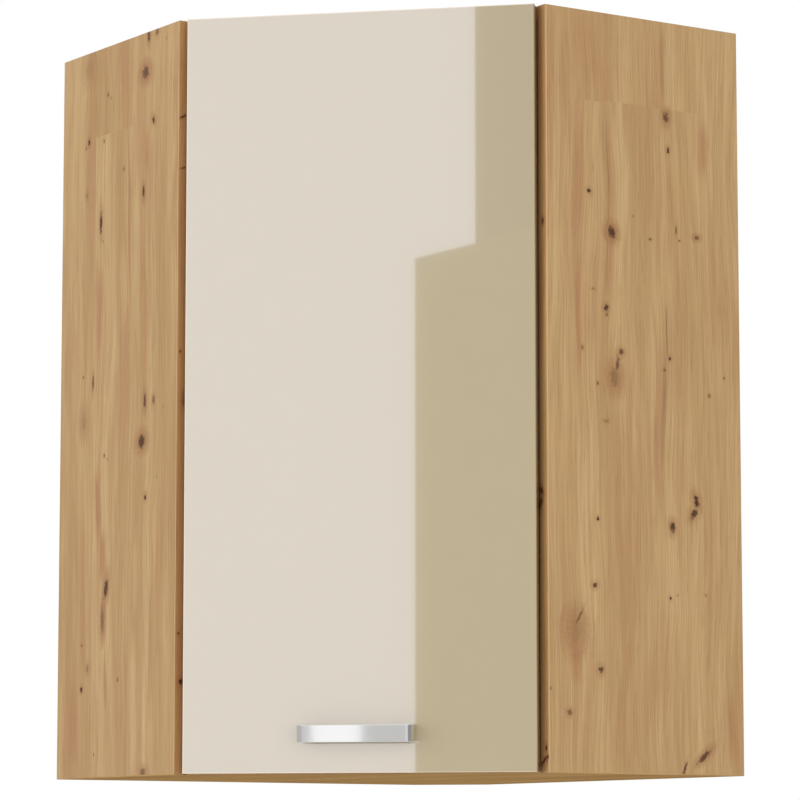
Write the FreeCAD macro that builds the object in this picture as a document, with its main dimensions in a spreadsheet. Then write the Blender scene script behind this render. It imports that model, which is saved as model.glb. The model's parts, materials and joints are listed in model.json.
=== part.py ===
import FreeCAD, Part
import os
import re
import Sketcher
from FreeCAD import Placement, Rotation, Vector

# Diagonal corner wall cabinet with one side-hung door.
# Frame: millimetres, +Z up. The origin is the centre of the square footprint, on the underside.
# The two walls are the planes x = -half and y = +half. The door crosses the free corner at 45 degrees.
# The carcass is symmetric about the plane through the room corner and the middle of the door.

doc = FreeCAD.newDocument("corner_wall_cabinet")
sheet = doc.addObject("Spreadsheet::Sheet", "Sizes")

# Driving dimensions in millimetres: alias, value, meaning
SIZES = [
    ("cabinet_width", 600, "length of the footprint along each wall"),
    ("cabinet_height", 900, "height of the carcass"),
    ("side_depth", 287, "depth of a side panel with its front edge band"),
    ("board", 16, "thickness of the carcass boards"),
    ("band", 1, "thickness of the edge bands"),
    ("band_round", 0.8, "rounding of the upright edges of a front band"),
    ("panel_setback", 1.5, "distance of the top and bottom fronts behind the side panels"),
    ("corner_cut", 70, "leg of the cut rear corner along each wall"),
    ("back_thickness", 3, "thickness of the thin back panels"),
    ("back_setback", 20, "space between a wall and the back panel"),
    ("groove_depth", 7, "depth of the grooves that hold the backs"),
    ("groove_play", 0.1, "play of a back panel in its groove"),
    ("shelf_play", 1, "gap round a shelf"),
    ("shelf_setback", 25, "distance of a shelf's front behind the carcass front"),
    ("shelf_height", 290, "height of the lower shelf's underside, and depth of the upper one's top"),
    ("pin_radius", 2.5, "radius of a shelf pin's shank"),
    ("pin_shank", 8, "length of a shelf pin's shank in the board"),
    ("pin_reach", 9, "length of a shelf pin's plate under the shelf"),
    ("pin_width", 12, "width of a shelf pin's plate"),
    ("pin_plate", 2.5, "thickness of a shelf pin's plate"),
    ("pin_flange", 0.8, "thickness of a shelf pin's flange on the board"),
    ("pin_drop", 12, "height of a shelf pin's flange"),
    ("pin_inset", 45, "distance of a shelf pin from the back panel and from the front edge"),
    ("cam_radius", 7.5, "radius of a cam housing"),
    ("cam_depth", 12.5, "depth of a cam housing in the board"),
    ("cam_slot", 1.2, "half width of the driver slot in a cam"),
    ("cam_slot_depth", 2, "depth of the driver slot in a cam"),
    ("cam_reach", 24, "distance of a cam's centre from the side panel"),
    ("cam_inset", 60, "distance of the outer cams from the ends of a joint"),
    ("bolt_radius", 3.5, "radius of a cam bolt's shank"),
    ("bolt_thread", 2.5, "radius of a cam bolt's thread"),
    ("bolt_thread_length", 11, "length of a cam bolt's thread in the side panel"),
    ("bolt_head", 2.8, "radius of a cam bolt's head inside the cam"),
    ("dowel_radius", 4, "radius of a wood dowel"),
    ("dowel_length", 30, "length of a wood dowel"),
    ("dowel_depth", 11, "depth of a dowel hole in a side, top or bottom panel"),
    ("dowel_offset", 32, "distance of a dowel from its cam, and of the corner dowels from the middle"),
    ("door_thickness", 16, "thickness of the door with its coating"),
    ("door_gap", 2, "gap between the door's back and the front inner corners of the side panels"),
    ("door_gap_z", 0.8, "distance of the door's upper and lower edges inside the carcass height"),
    ("hinge_height", 100, "height of the lower hinge above the underside, and depth of the upper one"),
    ("cup_radius", 17.4, "radius of a hinge cup"),
    ("cup_play", 0.1, "play of a hinge cup in its bore"),
    ("cup_edge", 3, "distance between the door's edge and a cup's bore"),
    ("cup_depth", 12.5, "depth of a hinge cup"),
    ("cup_wall", 0.8, "wall of a hinge cup"),
    ("flange", 1.2, "thickness of a cup's flange"),
    ("flange_rim", 1.6, "width of a cup's flange round the bore"),
    ("ear_width", 13, "width of the flange's screw ears"),
    ("ear_radius", 6.5, "rounding of the flange's screw ears"),
    ("cup_screw_spacing", 45, "distance of the two screws of a cup"),
    ("cup_screw_offset", 9.5, "distance of the cup screws from the cup's centre, away from the edge"),
    ("small_screw_radius", 1.75, "shank radius of the cup screws"),
    ("small_screw_length", 11, "length of the cup screws in the door"),
    ("small_head_radius", 3.4, "head radius of the cup screws"),
    ("small_head", 1.6, "head height of the cup screws"),
    ("drive_half", 0.5, "half width of the cross slots in the screw heads"),
    ("drive_share", 0.6, "share of a screw head taken by its cross slots"),
    ("pivot_edge", 7, "distance of the hinge pivot from the door's edge"),
    ("pivot_depth", 8.5, "depth of the hinge pivot below the door's back"),
    ("pivot_radius", 1.5, "radius of a hinge pin"),
    ("pivot_play", 0.05, "running clearance of a knuckle on its pin"),
    ("knuckle_radius", 2.8, "outer radius of an arm's knuckle"),
    ("ear_gap", 0.3, "side play between an arm and the cup's pivot ears"),
    ("pivot_ear", 2.5, "thickness of the cup's pivot ears"),
    ("arm_half", 5, "half width of a hinge arm in the cup"),
    ("foot_half", 7, "half width of a hinge arm's foot"),
    ("arm_plate", 3, "thickness of a hinge arm's legs"),
    ("arm_turn", 19.5, "distance between the door's edge and the arm's rising leg"),
    ("arm_rise", 9, "height of the arm's crossing leg behind the door's back"),
    ("arm_length", 62, "end of the arm's foot behind the side panel's front edge"),
    ("plate_height", 7, "height of a mounting plate on the side panel"),
    ("plate_front", 27, "front end of a mounting plate behind the side panel's front edge"),
    ("plate_half", 8, "half width of a mounting plate's body"),
    ("wing_half", 24, "half length of a mounting plate's wings"),
    ("wing_width", 13, "width of a mounting plate's wings"),
    ("wing_thickness", 2.5, "thickness of a mounting plate's wings"),
    ("system_inset", 37, "distance of the first row of holes behind the side panel's front edge"),
    ("system_pitch", 32, "pitch of the rows of holes"),
    ("euro_radius", 2.5, "shank radius of the plate screws"),
    ("euro_length", 12, "length of the plate screws in the side panel"),
    ("euro_head_radius", 4, "head radius of the plate screws"),
    ("euro_head", 1.6, "head height of the plate screws"),
    ("lock_radius", 2.5, "shank radius of the arm's lock screw"),
    ("lock_head_radius", 4, "head radius of the arm's lock screw"),
    ("lock_inset", 53, "distance of the lock screw behind the side panel's front edge"),
    ("adjust_inset", 20, "distance of the side adjusting screw behind the side panel's front edge"),
    ("adjust_radius", 2, "radius of the side adjusting screw"),
    ("spring_leaf", 0.8, "thickness of the closing spring's leaf"),
    ("spring_start", 24, "near end of the closing spring from the door's edge"),
    ("spring_end", 34, "far end of the closing spring from the door's edge"),
    ("spring_height", 5, "height of the closing spring"),
    ("handle_length", 137, "overall length of the handle"),
    ("handle_height", 20, "height of the handle's band"),
    ("handle_reach", 27, "distance of the handle's front from the door"),
    ("handle_bar", 4.5, "thickness of the handle's band at the grip"),
    ("handle_leg", 10, "thickness of the handle's legs"),
    ("handle_round", 8, "outer radius of the handle's bends"),
    ("handle_inner_round", 6, "inner radius of the handle's bends"),
    ("handle_edge", 0.6, "bevel of the handle's long edges"),
    ("handle_lean", 3, "lean of the handle's front towards the floor, in degrees"),
    ("handle_trim", 1.5, "extra length of the handle's legs before they are cut off at the door"),
    ("handle_pitch", 128, "distance of the two handle screws"),
    ("handle_z", 46.5, "height of the handle's middle above the underside"),
    ("handle_hole", 2.2, "radius of the handle's holes through the door"),
    ("handle_screw", 2, "shank radius of the handle screws"),
    ("handle_thread", 9, "length of a handle screw in the handle"),
    ("handle_head_radius", 4, "head radius of the handle screws"),
    ("handle_head", 2.4, "head height of the handle screws"),
    ("bumper_radius", 4, "radius of a door bumper"),
    ("bumper_inset", 25, "distance of a bumper from the door's free edge"),
    ("bumper_play", 0.3, "gap between a bumper and the carcass with the door closed"),
    ("hanger_length", 58, "length of a hanger housing"),
    ("hanger_height", 88, "height of a hanger housing"),
    ("hanger_width", 19, "width of a hanger housing"),
    ("hanger_wall", 3, "wall of a hanger housing towards the room and the side panel"),
    ("hanger_end", 13, "solid height at both ends of a hanger housing"),
    ("hanger_drop", 12, "distance of a hanger housing below the top panel"),
    ("slide_play", 0.3, "play of the hanger's slider and hook in their guides"),
    ("slider_height", 46, "height of a hanger slider"),
    ("slider_length", 44, "length of a hanger slider"),
    ("hook_thickness", 3, "thickness of a hanger hook"),
    ("hook_height", 12, "height of a hanger hook's shank"),
    ("hook_tail", 18, "length of a hanger hook's tail block inside its slider"),
    ("hook_tail_width", 7, "width of a hanger hook's tail block"),
    ("hook_bore_play", 0.1, "clearance of a hook's bore round its depth screw"),
    ("hook_slot_play", 1, "room round a hook in the back panel's slot"),
    ("hook_tooth", 2.6, "thickness of a hook's tooth behind the wall plate's lip"),
    ("hook_tooth_drop", 9, "depth of a hook's tooth below its shank"),
    ("hook_travel_z", 7, "travel of the height adjustment each way"),
    ("hook_travel_x", 8, "travel of the depth adjustment"),
    ("depth_screw_radius", 2.5, "radius of a hanger's depth screw"),
    ("depth_screw_cover", 2, "how far a depth screw's tip stays short of the tail's rear end"),
    ("height_screw_radius", 2.5, "radius of a hanger's height screw"),
    ("height_screw_x", 14, "distance of a height screw from the back panel"),
    ("height_screw_reach", 8, "length of a height screw inside its slider"),
    ("height_bore_depth", 15.4, "depth of the slider's bore for the height screw"),
    ("driver_radius", 4, "radius of the opening for the driver in front of a depth screw"),
    ("hanger_screw_radius", 2, "shank radius of a hanger's fixing screws"),
    ("hanger_screw_length", 12, "length of a hanger's fixing screws in the side panel"),
    ("hanger_head_radius", 3.5, "head radius of a hanger's fixing screws"),
    ("hanger_head", 2, "head height of a hanger's fixing screws"),
    ("cap_wall", 1, "wall of a hanger's cover cap"),
    ("cap_play", 0.3, "gap between a hanger housing and its cover cap"),
    ("rail_length", 60, "length of a wall plate"),
    ("rail_thickness", 2.5, "thickness of a wall plate"),
    ("rail_height", 26, "height of the part of a wall plate that lies on the wall"),
    ("rail_lip", 14, "height of a wall plate's lip"),
    ("rail_step", 5.5, "distance of a wall plate's lip from the wall"),
    ("rail_hole", 3.2, "radius of a wall plate's screw holes"),
    ("rail_hole_pitch", 36, "distance of a wall plate's screw holes"),
    ("rail_start", 3, "distance of a wall plate from the side panel"),
    ("small_sides", 10, "sides of the small round pieces and of the holes that hold them"),
    ("cam_sides", 16, "sides of the cam housings, their seats and the hinges' round ends"),
    ("cup_sides", 28, "sides of the hinge cups and of the holes that hold them"),
    ("overrun", 1, "how far a cutting shape runs past a face"),
]
for row, (alias, value, meaning) in enumerate(SIZES, start=1):
    sheet.set("A%d" % row, meaning)
    sheet.set("B%d" % row, str(value))
    sheet.setAlias("B%d" % row, alias)
doc.recompute()

NAMES = re.compile(r"\b(%s)\b" % "|".join(entry[0] for entry in SIZES))
ROOT2 = "sqrt(2)"
NODES = {}


def cell(formula):
    """Turn the size names in a formula into references to their cells."""
    return NAMES.sub(r"Sizes.\1", formula)


def size(alias):
    """Read one driving dimension as a number."""
    return float(getattr(sheet, alias))


def place(obj, x="0", y="0", z="0"):
    """Bind an object's position to three formulas, and keep its rotation."""
    for axis, formula in zip("xyz", (x, y, z)):
        obj.setExpression("Placement.Base." + axis, cell(formula))
    return obj


def box(name, dims, at):
    """A block from three formulas for its size and three for its lowest corner."""
    obj = doc.addObject("Part::Box", name)
    for prop, formula in zip(("Length", "Width", "Height"), dims):
        obj.setExpression(prop, cell(formula))
    return place(obj, *at)


DIRECTIONS = {
    "+x": Rotation(Vector(0, 1, 0), 90),
    "-x": Rotation(Vector(0, 1, 0), -90),
    "+y": Rotation(Vector(1, 0, 0), -90),
    "-y": Rotation(Vector(1, 0, 0), 90),
    "+z": Rotation(),
}


def rod(name, radius, length, at, direction="+z"):
    """A cylinder that starts at a point and runs along a direction."""
    obj = doc.addObject("Part::Cylinder", name)
    obj.setExpression("Radius", cell(radius))
    obj.setExpression("Height", cell(length))
    obj.Placement = Placement(Vector(), DIRECTIONS[direction])
    return place(obj, *at)


def peg(name, radius, length, at, direction="+z", sides="small_sides"):
    """A small round piece or hole, many-sided so that the repeated ones stay light."""
    obj = doc.addObject("Part::Prism", name)
    obj.setExpression("Polygon", cell(sides))
    obj.setExpression("Circumradius", cell(radius))
    obj.setExpression("Height", cell(length))
    obj.Placement = Placement(Vector(), DIRECTIONS[direction])
    return place(obj, *at)


def fuse(name, shapes):
    """Join shapes into one solid."""
    obj = doc.addObject("Part::MultiFuse", name)
    obj.Shapes = shapes
    obj.Refine = True
    return obj


def group(name, shapes):
    """Keep separate solids together as one node."""
    obj = doc.addObject("Part::Compound", name)
    obj.Links = shapes
    return obj


def cut(name, base, tools):
    """Take one or more tools out of a base."""
    obj = doc.addObject("Part::Cut", name)
    obj.Base = base
    obj.Tool = tools[0] if len(tools) == 1 else group(name + "_tools", tools)
    return obj


def common(name, first, second):
    """Keep what two shapes share."""
    obj = doc.addObject("Part::Common", name)
    obj.Base = first
    obj.Tool = second
    return obj


def mirror(name, source, across):
    """Mirror a shape: across the cabinet's symmetry plane, or across its middle height."""
    obj = doc.addObject("Part::Mirroring", name)
    obj.Source = source
    if across == "sides":
        obj.Normal = Vector(1, 1, 0)
    else:
        obj.Normal = Vector(0, 0, 1)
        obj.setExpression("Base.z", cell("cabinet_height/2"))
    return obj


def both_heights(name, source):
    """A lower piece and its mirror image in the upper half."""
    return group(name, [source, mirror(name + "_upper", source, "heights")])


def four_joints(name, source):
    """A piece of the lower left joint, repeated at the three other carcass joints."""
    lower = group(name + "_lower", [source, mirror(name + "_lower_right", source, "sides")])
    return both_heights(name, lower)


def outline(name, plane, points, length, middle=False):
    """A body padded from a closed outline whose corners are given as pairs of formulas."""
    body = doc.addObject("PartDesign::Body", name)
    sketch = body.newObject("Sketcher::SketchObject", name + "_outline")
    origin_plane = [item for item in body.Origin.OriginFeatures if item.Role == plane][0]
    sketch.AttachmentSupport = [(origin_plane, "")]
    sketch.MapMode = "FlatFace"
    values = [[float(evaluate(sketch, part)) for part in point] for point in points]
    count = len(points)
    for index in range(count):
        start = Vector(*values[index], 0)
        end = Vector(*values[(index + 1) % count], 0)
        sketch.addGeometry(Part.LineSegment(start, end), False)
    for index in range(count):
        follower = (index + 1) % count
        sketch.addConstraint(Sketcher.Constraint("Coincident", index, 2, follower, 1))
    for index, (first, second) in enumerate(points):
        for kind, formula, number in (("DistanceX", first, 0), ("DistanceY", second, 1)):
            made = sketch.addConstraint(
                Sketcher.Constraint(kind, -1, 1, index, 1, values[index][number]))
            sketch.setExpression("Constraints[%d]" % made, cell(formula))
    pad = body.newObject("PartDesign::Pad", name + "_pad")
    pad.Profile = sketch
    pad.setExpression("Length", cell(length))
    if middle:
        pad.Midplane = True
    body.Tip = pad
    return body


def evaluate(obj, formula):
    """The present value of a formula."""
    return obj.evalExpression(cell(formula))


def node(name, obj):
    """Register a finished piece under the name of its file."""
    obj.Label = name
    NODES[name] = obj
    return obj


def left_and_right(name, obj):
    """A piece of the left side and its mirror image on the right."""
    node(name + "_left", obj)
    return node(name + "_right", mirror(name + "_right", obj, "sides"))


# Places that several pieces share
HALF = "cabinet_width/2"
LEFT_FACE = "-%s + board" % HALF
BACK_FACE = "-%s + back_setback + back_thickness" % HALF
FRONT_EDGE = "-%s + side_depth" % HALF
OPENING = "%s*(cabinet_width - board - side_depth)" % ROOT2
CORNER_FRONT = "corner_cut + %s*board" % ROOT2
SHELF_BOTTOM = "shelf_height"
SHELF_TOP = "cabinet_height - shelf_height - board"


# Back panels, and the grooves that hold them
def back_blank(name, play):
    """The left back panel, or with play the shape of its grooves."""
    length = ("cabinet_width - board + groove_depth - (%s - back_setback) + groove_depth"
              % CORNER_FRONT)
    return box(name,
               ("back_thickness + 2*%s" % play,
                length + " + 2*%s" % play,
                "cabinet_height - 2*board + 2*groove_depth + 2*%s" % play),
               ("-%s + back_setback - %s" % (HALF, play),
                "%s - groove_depth - %s" % (LEFT_FACE, play),
                "board - groove_depth - %s" % play))


groove_left = back_blank("groove_left", "groove_play")
groove_right = mirror("groove_right", groove_left, "sides")


# Carcass joints: positions along the left joint, seen from the room corner
CAMS = ("-%s + cam_inset" % HALF, "%s - cam_inset" % FRONT_EDGE)
DOWELS = ("-%s + cam_inset + dowel_offset" % HALF, "%s - cam_inset - dowel_offset" % FRONT_EDGE)
CAM_Y = "%s + cam_reach" % LEFT_FACE
BOLT_Z = "board/2"


def cam_parts():
    """Cams, bolts and dowels of the lower left joint, and the cutting shapes for their seats."""
    cams, bolts, dowels = [], [], []
    cam_seats, bolt_seats, side_holes = [], [], []
    for index, x in enumerate(CAMS):
        tag = "_%d" % index
        disc = peg("cam_disc" + tag, "cam_radius", "cam_depth", (x, CAM_Y, "board - cam_depth"),
                   sides="cam_sides")
        cavity = peg("cam_cavity" + tag, "bolt_radius", "cam_radius + bolt_head + overrun",
                     (x, CAM_Y + " - cam_radius - overrun", BOLT_Z), "+y")
        slots = fuse("cam_slots" + tag, [
            box("cam_slot_long" + tag, ("2*cam_radius - 2*cam_slot", "2*cam_slot", "cam_slot_depth"),
                (x + " - cam_radius + cam_slot", CAM_Y + " - cam_slot", "board - cam_slot_depth")),
            box("cam_slot_wide" + tag, ("2*cam_slot", "2*cam_radius - 2*cam_slot", "cam_slot_depth"),
                (x + " - cam_slot", CAM_Y + " - cam_radius + cam_slot", "board - cam_slot_depth"))])
        cams.append(cut("cam" + tag, disc, [cavity, slots]))
        thread = peg("bolt_thread" + tag, "bolt_thread", "bolt_thread_length",
                     (x, LEFT_FACE + " - bolt_thread_length", BOLT_Z), "+y")
        shank = peg("bolt_shank" + tag, "bolt_radius", "cam_reach - cam_radius",
                    (x, LEFT_FACE, BOLT_Z), "+y")
        head = peg("bolt_head" + tag, "bolt_head", "cam_radius", (x, CAM_Y + " - cam_radius", BOLT_Z),
                   "+y")
        bolts.append(fuse("bolt" + tag, [thread, shank, head]))
        cam_seats.append(peg("cam_seat" + tag, "cam_radius", "cam_depth + overrun",
                             (x, CAM_Y, "board - cam_depth"), sides="cam_sides"))
        bolt_seats.append(peg("bolt_seat" + tag, "bolt_radius", "cam_reach + overrun",
                              (x, LEFT_FACE + " - overrun", BOLT_Z), "+y"))
        side_holes.append(peg("bolt_hole" + tag, "bolt_thread", "bolt_thread_length + overrun",
                              (x, LEFT_FACE + " - bolt_thread_length", BOLT_Z), "+y"))
    for index, x in enumerate(DOWELS):
        tag = "_%d" % index
        start = (x, LEFT_FACE + " - dowel_depth", BOLT_Z)
        dowels.append(peg("dowel" + tag, "dowel_radius", "dowel_length", start, "+y"))
        side_holes.append(peg("dowel_hole" + tag, "dowel_radius", "dowel_length", start, "+y"))
    return cams, bolts, dowels, cam_seats + bolt_seats, side_holes


cams, bolts, dowels, panel_seats, side_holes = cam_parts()


def corner_dowels():
    """Two upright dowels between the bottom panel and the corner board."""
    middle = "-%s + (corner_cut + board/%s)/2" % (HALF, ROOT2)
    made = []
    for index, sign in enumerate(("-", "+")):
        shift = " %s dowel_offset/(2*%s)" % (sign, ROOT2)
        made.append(peg("corner_dowel_%d" % index, "dowel_radius", "dowel_length",
                        (middle + shift, "-(%s)%s" % (middle, shift), "board - dowel_depth")))
    return made


upright_dowels = corner_dowels()

# Side panels with their edge bands
side_board = box("side_board", ("side_depth - band", "board", "cabinet_height - band"),
                 ("-" + HALF, "-" + HALF, "band"))
side_drilled = both_heights("side_drilling", group("side_holes", side_holes))


def pin_spots():
    """Shelf pin places: a name, x, y and the turn that points the pin away from its board."""
    rear = "%s + pin_inset" % BACK_FACE
    front = "%s - shelf_setback - pin_inset" % FRONT_EDGE
    return [
        ("side_rear", rear, LEFT_FACE, 90),
        ("side_front", front, LEFT_FACE, 90),
        ("right_rear", "-(%s)" % LEFT_FACE, "-(%s)" % rear, 180),
        ("right_front", "-(%s)" % LEFT_FACE, "-(%s)" % front, 180),
        ("corner", "-%s + (%s)/2" % (HALF, CORNER_FRONT), "%s - (%s)/2" % (HALF, CORNER_FRONT), -45),
    ]


def shelf_pin(name, x, y, z, turn):
    """A pin with its flange on the board and its plate under the shelf, and its hole."""
    shank_at = ("-pin_shank", "0", "-pin_plate - pin_drop/2")
    shank = peg(name + "_shank", "pin_radius", "pin_shank", shank_at, "+x")
    flange = box(name + "_flange", ("pin_flange", "pin_width", "pin_drop + pin_plate"),
                 ("0", "-pin_width/2", "-pin_drop - pin_plate"))
    plate = box(name + "_plate", ("pin_reach", "pin_width", "pin_plate"),
                ("0", "-pin_width/2", "-pin_plate"))
    pin = fuse(name, [shank, flange, plate])
    hole = group(name + "_hole", [peg(name + "_bore", "pin_radius", "pin_shank + overrun",
                                      shank_at, "+x")])
    for obj in (pin, hole):
        obj.Placement = Placement(Vector(), Rotation(Vector(0, 0, 1), turn))
        place(obj, x, y, z)
    return pin, hole


pins, pin_holes = [], {"side": [], "right": [], "corner": []}
for level, height in (("low", SHELF_BOTTOM), ("high", SHELF_TOP)):
    for spot, x, y, turn in pin_spots():
        pin, hole = shelf_pin("pin_%s_%s" % (spot, level), x, y, height, turn)
        pins.append(pin)
        pin_holes[spot.split("_")[0]].append(hole)
node("shelf_pins", group("shelf_pin_set", pins))

side_common = cut("side_common", side_board, [groove_left, side_drilled] + pin_holes["side"])


def plate_screw_places():
    """Heights of the two screws of the lower mounting plate."""
    return ["hinge_height + system_pitch/2", "hinge_height - system_pitch/2"]


def hanger_screw_places():
    """Heights of the two fixing screws of a hanger, below and above its slider."""
    bottom = "cabinet_height - board - hanger_drop - hanger_height"
    return [bottom + " + hanger_end/2", bottom + " + hanger_height - hanger_end/2"]


HANGER_X = BACK_FACE
HANGER_SCREW_X = "%s + hanger_length/2" % HANGER_X
hanger_holes = [
    peg("hanger_hole_%d" % index, "hanger_screw_radius", "hanger_screw_length + overrun",
        (HANGER_SCREW_X, LEFT_FACE + " - hanger_screw_length", z), "+y")
    for index, z in enumerate(hanger_screw_places())]
plate_holes = both_heights("plate_holes", group("plate_holes_lower", [
    peg("plate_hole_%d" % index, "euro_radius", "euro_length + overrun",
        ("%s - system_inset" % FRONT_EDGE, LEFT_FACE + " - euro_length", z), "+y")
    for index, z in enumerate(plate_screw_places())]))

side_with_hanger = cut("side_with_hanger", side_common, hanger_holes)
node("side_panel_left", cut("side_left", side_with_hanger, [plate_holes]))
node("side_panel_right", mirror("side_right", side_with_hanger, "sides"))


def front_band():
    """The front edge band of the left side panel, with its upright edges rounded."""
    strip = box("side_strip", ("band", "board", "cabinet_height"),
                ("%s - band" % FRONT_EDGE, "-" + HALF, "0"))
    doc.recompute()
    rounded = doc.addObject("Part::Fillet", "side_strip_rounded")
    rounded.Base = strip
    front = strip.Shape.BoundBox.XMax
    edges = []
    for index, edge in enumerate(strip.Shape.Edges, start=1):
        bounds = edge.BoundBox
        if bounds.XMin > front - size("band") / 2 and bounds.ZLength > size("cabinet_height") / 2:
            edges.append((index, size("band_round"), size("band_round")))
    rounded.Edges = edges
    return rounded


left_and_right("side_front_band", front_band())
left_and_right("side_lower_band", box("side_lower_strip", ("side_depth - band", "board", "band"),
                                      ("-" + HALF, "-" + HALF, "0")))


# Bottom and top panels
def panel_points(front):
    """Corners of a top or bottom panel whose front lies behind the inner front corners."""
    reach = "%s - %s*(%s)" % (FRONT_EDGE, ROOT2, front)
    return [
        ("-" + HALF, LEFT_FACE),
        (reach, LEFT_FACE),
        ("-(%s)" % LEFT_FACE, "-(%s)" % reach),
        ("-(%s)" % LEFT_FACE, HALF),
        ("-%s + corner_cut" % HALF, HALF),
        ("-" + HALF, "%s - corner_cut" % HALF),
    ]


def quarter_seats(name, seats):
    """Seats of the left joint and their mirror images at the right joint."""
    lower = group(name, seats)
    return [lower, mirror(name + "_right", lower, "sides")]


panel_dowel_seats = [
    peg("panel_dowel_seat_%d" % index, "dowel_radius", "dowel_length - dowel_depth + overrun",
        (x, LEFT_FACE + " - overrun", BOLT_Z), "+y")
    for index, x in enumerate(DOWELS)]
panel_blank = outline("panel_blank", "XY_Plane", panel_points("band + panel_setback"), "board")
bottom = cut("bottom", panel_blank,
             quarter_seats("panel_seats", panel_seats + panel_dowel_seats)
             + [groove_left, groove_right] + upright_dowels)
node("bottom_panel", bottom)
node("top_panel", mirror("top", bottom, "heights"))


def diagonal_strip(name, length, depth, height, z, setback):
    """A block across the cabinet's front, set back from the inner front corners."""
    strip = box(name + "_block", (length, depth, height), ("-(%s)/2" % length, "0", "0"))
    obj = group(name, [strip])
    obj.Placement = Placement(Vector(), Rotation(Vector(0, 0, 1), 45))
    spot = "side_depth/2 - board/2 - (%s)/%s" % (setback, ROOT2)
    return place(obj, spot, "-(%s)" % spot, z)


bottom_band = diagonal_strip("bottom_band", OPENING, "band", "board", "0", "panel_setback")
node("panel_front_bands", both_heights("panel_bands", bottom_band))


# Corner board, upright across the cut rear corner
def corner_board():
    """The board across the rear corner, grooved for both backs and drilled for its dowels."""
    height = "cabinet_height - 2*board"
    slab = group("corner_slab", [
        box("corner_slab_block", ("%s*corner_cut" % ROOT2, "board", height),
            ("-%s*corner_cut/2" % ROOT2, "-board", "0"))])
    slab.Placement = Placement(Vector(), Rotation(Vector(0, 0, 1), 45))
    spot = "-%s + corner_cut/2" % HALF
    place(slab, spot, "-(%s)" % spot, "board")
    dowel_seats = group("corner_dowel_seats", upright_dowels)
    return cut("corner_board_cut", slab,
               [groove_left, groove_right, dowel_seats, mirror("upper_seats", dowel_seats, "heights")]
               + pin_holes["corner"])


node("corner_board", corner_board())
all_dowels = group("joint_dowels", [four_joints("side_dowels", group("dowel_pair", dowels)),
                                    both_heights("corner_dowels", group("upright_pair",
                                                                        upright_dowels))])
node("wood_dowels", all_dowels)
node("cam_housings", four_joints("cam_set", group("cam_pair", cams)))
node("cam_bolts", four_joints("bolt_set", group("bolt_pair", bolts)))


# Shelves
def shelf_points():
    """Corners of a shelf, clear of the sides, the backs and the corner board."""
    front = "%s - %s*(shelf_setback + band) + shelf_play" % (FRONT_EDGE, ROOT2)
    side = LEFT_FACE + " + shelf_play"
    rear = BACK_FACE + " + shelf_play"
    cut_end = "-(%s + shelf_play) + corner_cut + %s*(board + shelf_play)" % (
        "back_setback + back_thickness", ROOT2)
    return [
        (rear, side),
        (front, side),
        ("-(%s)" % side, "-(%s)" % front),
        ("-(%s)" % side, "-(%s)" % rear),
        ("-%s + %s" % (HALF, cut_end), "-(%s)" % rear),
        (rear, "%s - (%s)" % (HALF, cut_end)),
    ]


shelf_band_length = OPENING + " + 2*shelf_setback - 2*%s*shelf_play" % ROOT2
shelf_bands = []
for name, height in (("shelf_lower", SHELF_BOTTOM), ("shelf_upper", SHELF_TOP)):
    shelf = outline(name + "_board", "XY_Plane", shelf_points(), "board")
    node(name, place(shelf, z=height))
    shelf_bands.append(diagonal_strip(name + "_band", shelf_band_length, "band", "board", height,
                                      "shelf_setback"))
node("shelf_front_bands", group("shelf_bands", shelf_bands))

# Door: local x runs along the door from its middle, local y from its back into the cabinet
DOOR_SPOT = "side_depth/2 - board/2 + door_gap/%s" % ROOT2
DOOR_TURN = Rotation(Vector(0, 0, 1), 45)
DOOR_EDGE = "-(%s)/2" % OPENING
DOOR_HEIGHT = "cabinet_height - 2*door_gap_z"
PIVOT_X = DOOR_EDGE + " + pivot_edge"
CUP_X = DOOR_EDGE + " + cup_edge + cup_radius + cup_play"
CUP_SCREW_X = CUP_X + " + cup_screw_offset"


def on_door(obj):
    """Turn and move a shape from the door's local frame to its place."""
    obj.Placement = Placement(Vector(), DOOR_TURN)
    return place(obj, DOOR_SPOT, "-(%s)" % DOOR_SPOT)


def door_panel():
    """The door's core with the bores for cups, cup screws and handle screws."""
    core = box("door_core", (OPENING + " - 2*band", "door_thickness", DOOR_HEIGHT + " - 2*band"),
               (DOOR_EDGE + " + band", "-door_thickness", "door_gap_z + band"))
    cup_bore = peg("cup_bore", "cup_radius + cup_play", "cup_depth + overrun",
                   (CUP_X, "-cup_depth", "hinge_height"), "+y", "cup_sides")
    pilots = [
        peg("cup_pilot_%d" % index, "small_screw_radius", "small_screw_length + overrun",
            (CUP_SCREW_X, "-small_screw_length", "hinge_height %s cup_screw_spacing/2" % sign), "+y")
        for index, sign in enumerate("+-")]
    handle_holes = [
        peg("handle_bore_%d" % index, "handle_hole", "door_thickness + 2*overrun",
            ("%shandle_pitch/2" % sign, "-door_thickness - overrun", "handle_z"), "+y")
        for index, sign in enumerate("+-")]
    cup_bores = both_heights("cup_bores", group("cup_bore_set", [cup_bore] + pilots))
    return cut("door_body", core, [cup_bores] + handle_holes)


def door_bands():
    """The four bands round the door's core."""
    upright = ("band", "door_thickness", DOOR_HEIGHT)
    flat = (OPENING + " - 2*band", "door_thickness", "band")
    left = box("door_band_left", upright, (DOOR_EDGE, "-door_thickness", "door_gap_z"))
    right = box("door_band_right", upright,
                ("-(%s) - band" % DOOR_EDGE, "-door_thickness", "door_gap_z"))
    lower = box("door_band_lower", flat, (DOOR_EDGE + " + band", "-door_thickness", "door_gap_z"))
    upper = box("door_band_upper", flat,
                (DOOR_EDGE + " + band", "-door_thickness", "cabinet_height - door_gap_z - band"))
    return group("door_bands", [left, right, lower, upper])


node("door_panel", on_door(door_panel()))
node("door_edge_bands", on_door(door_bands()))


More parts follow.
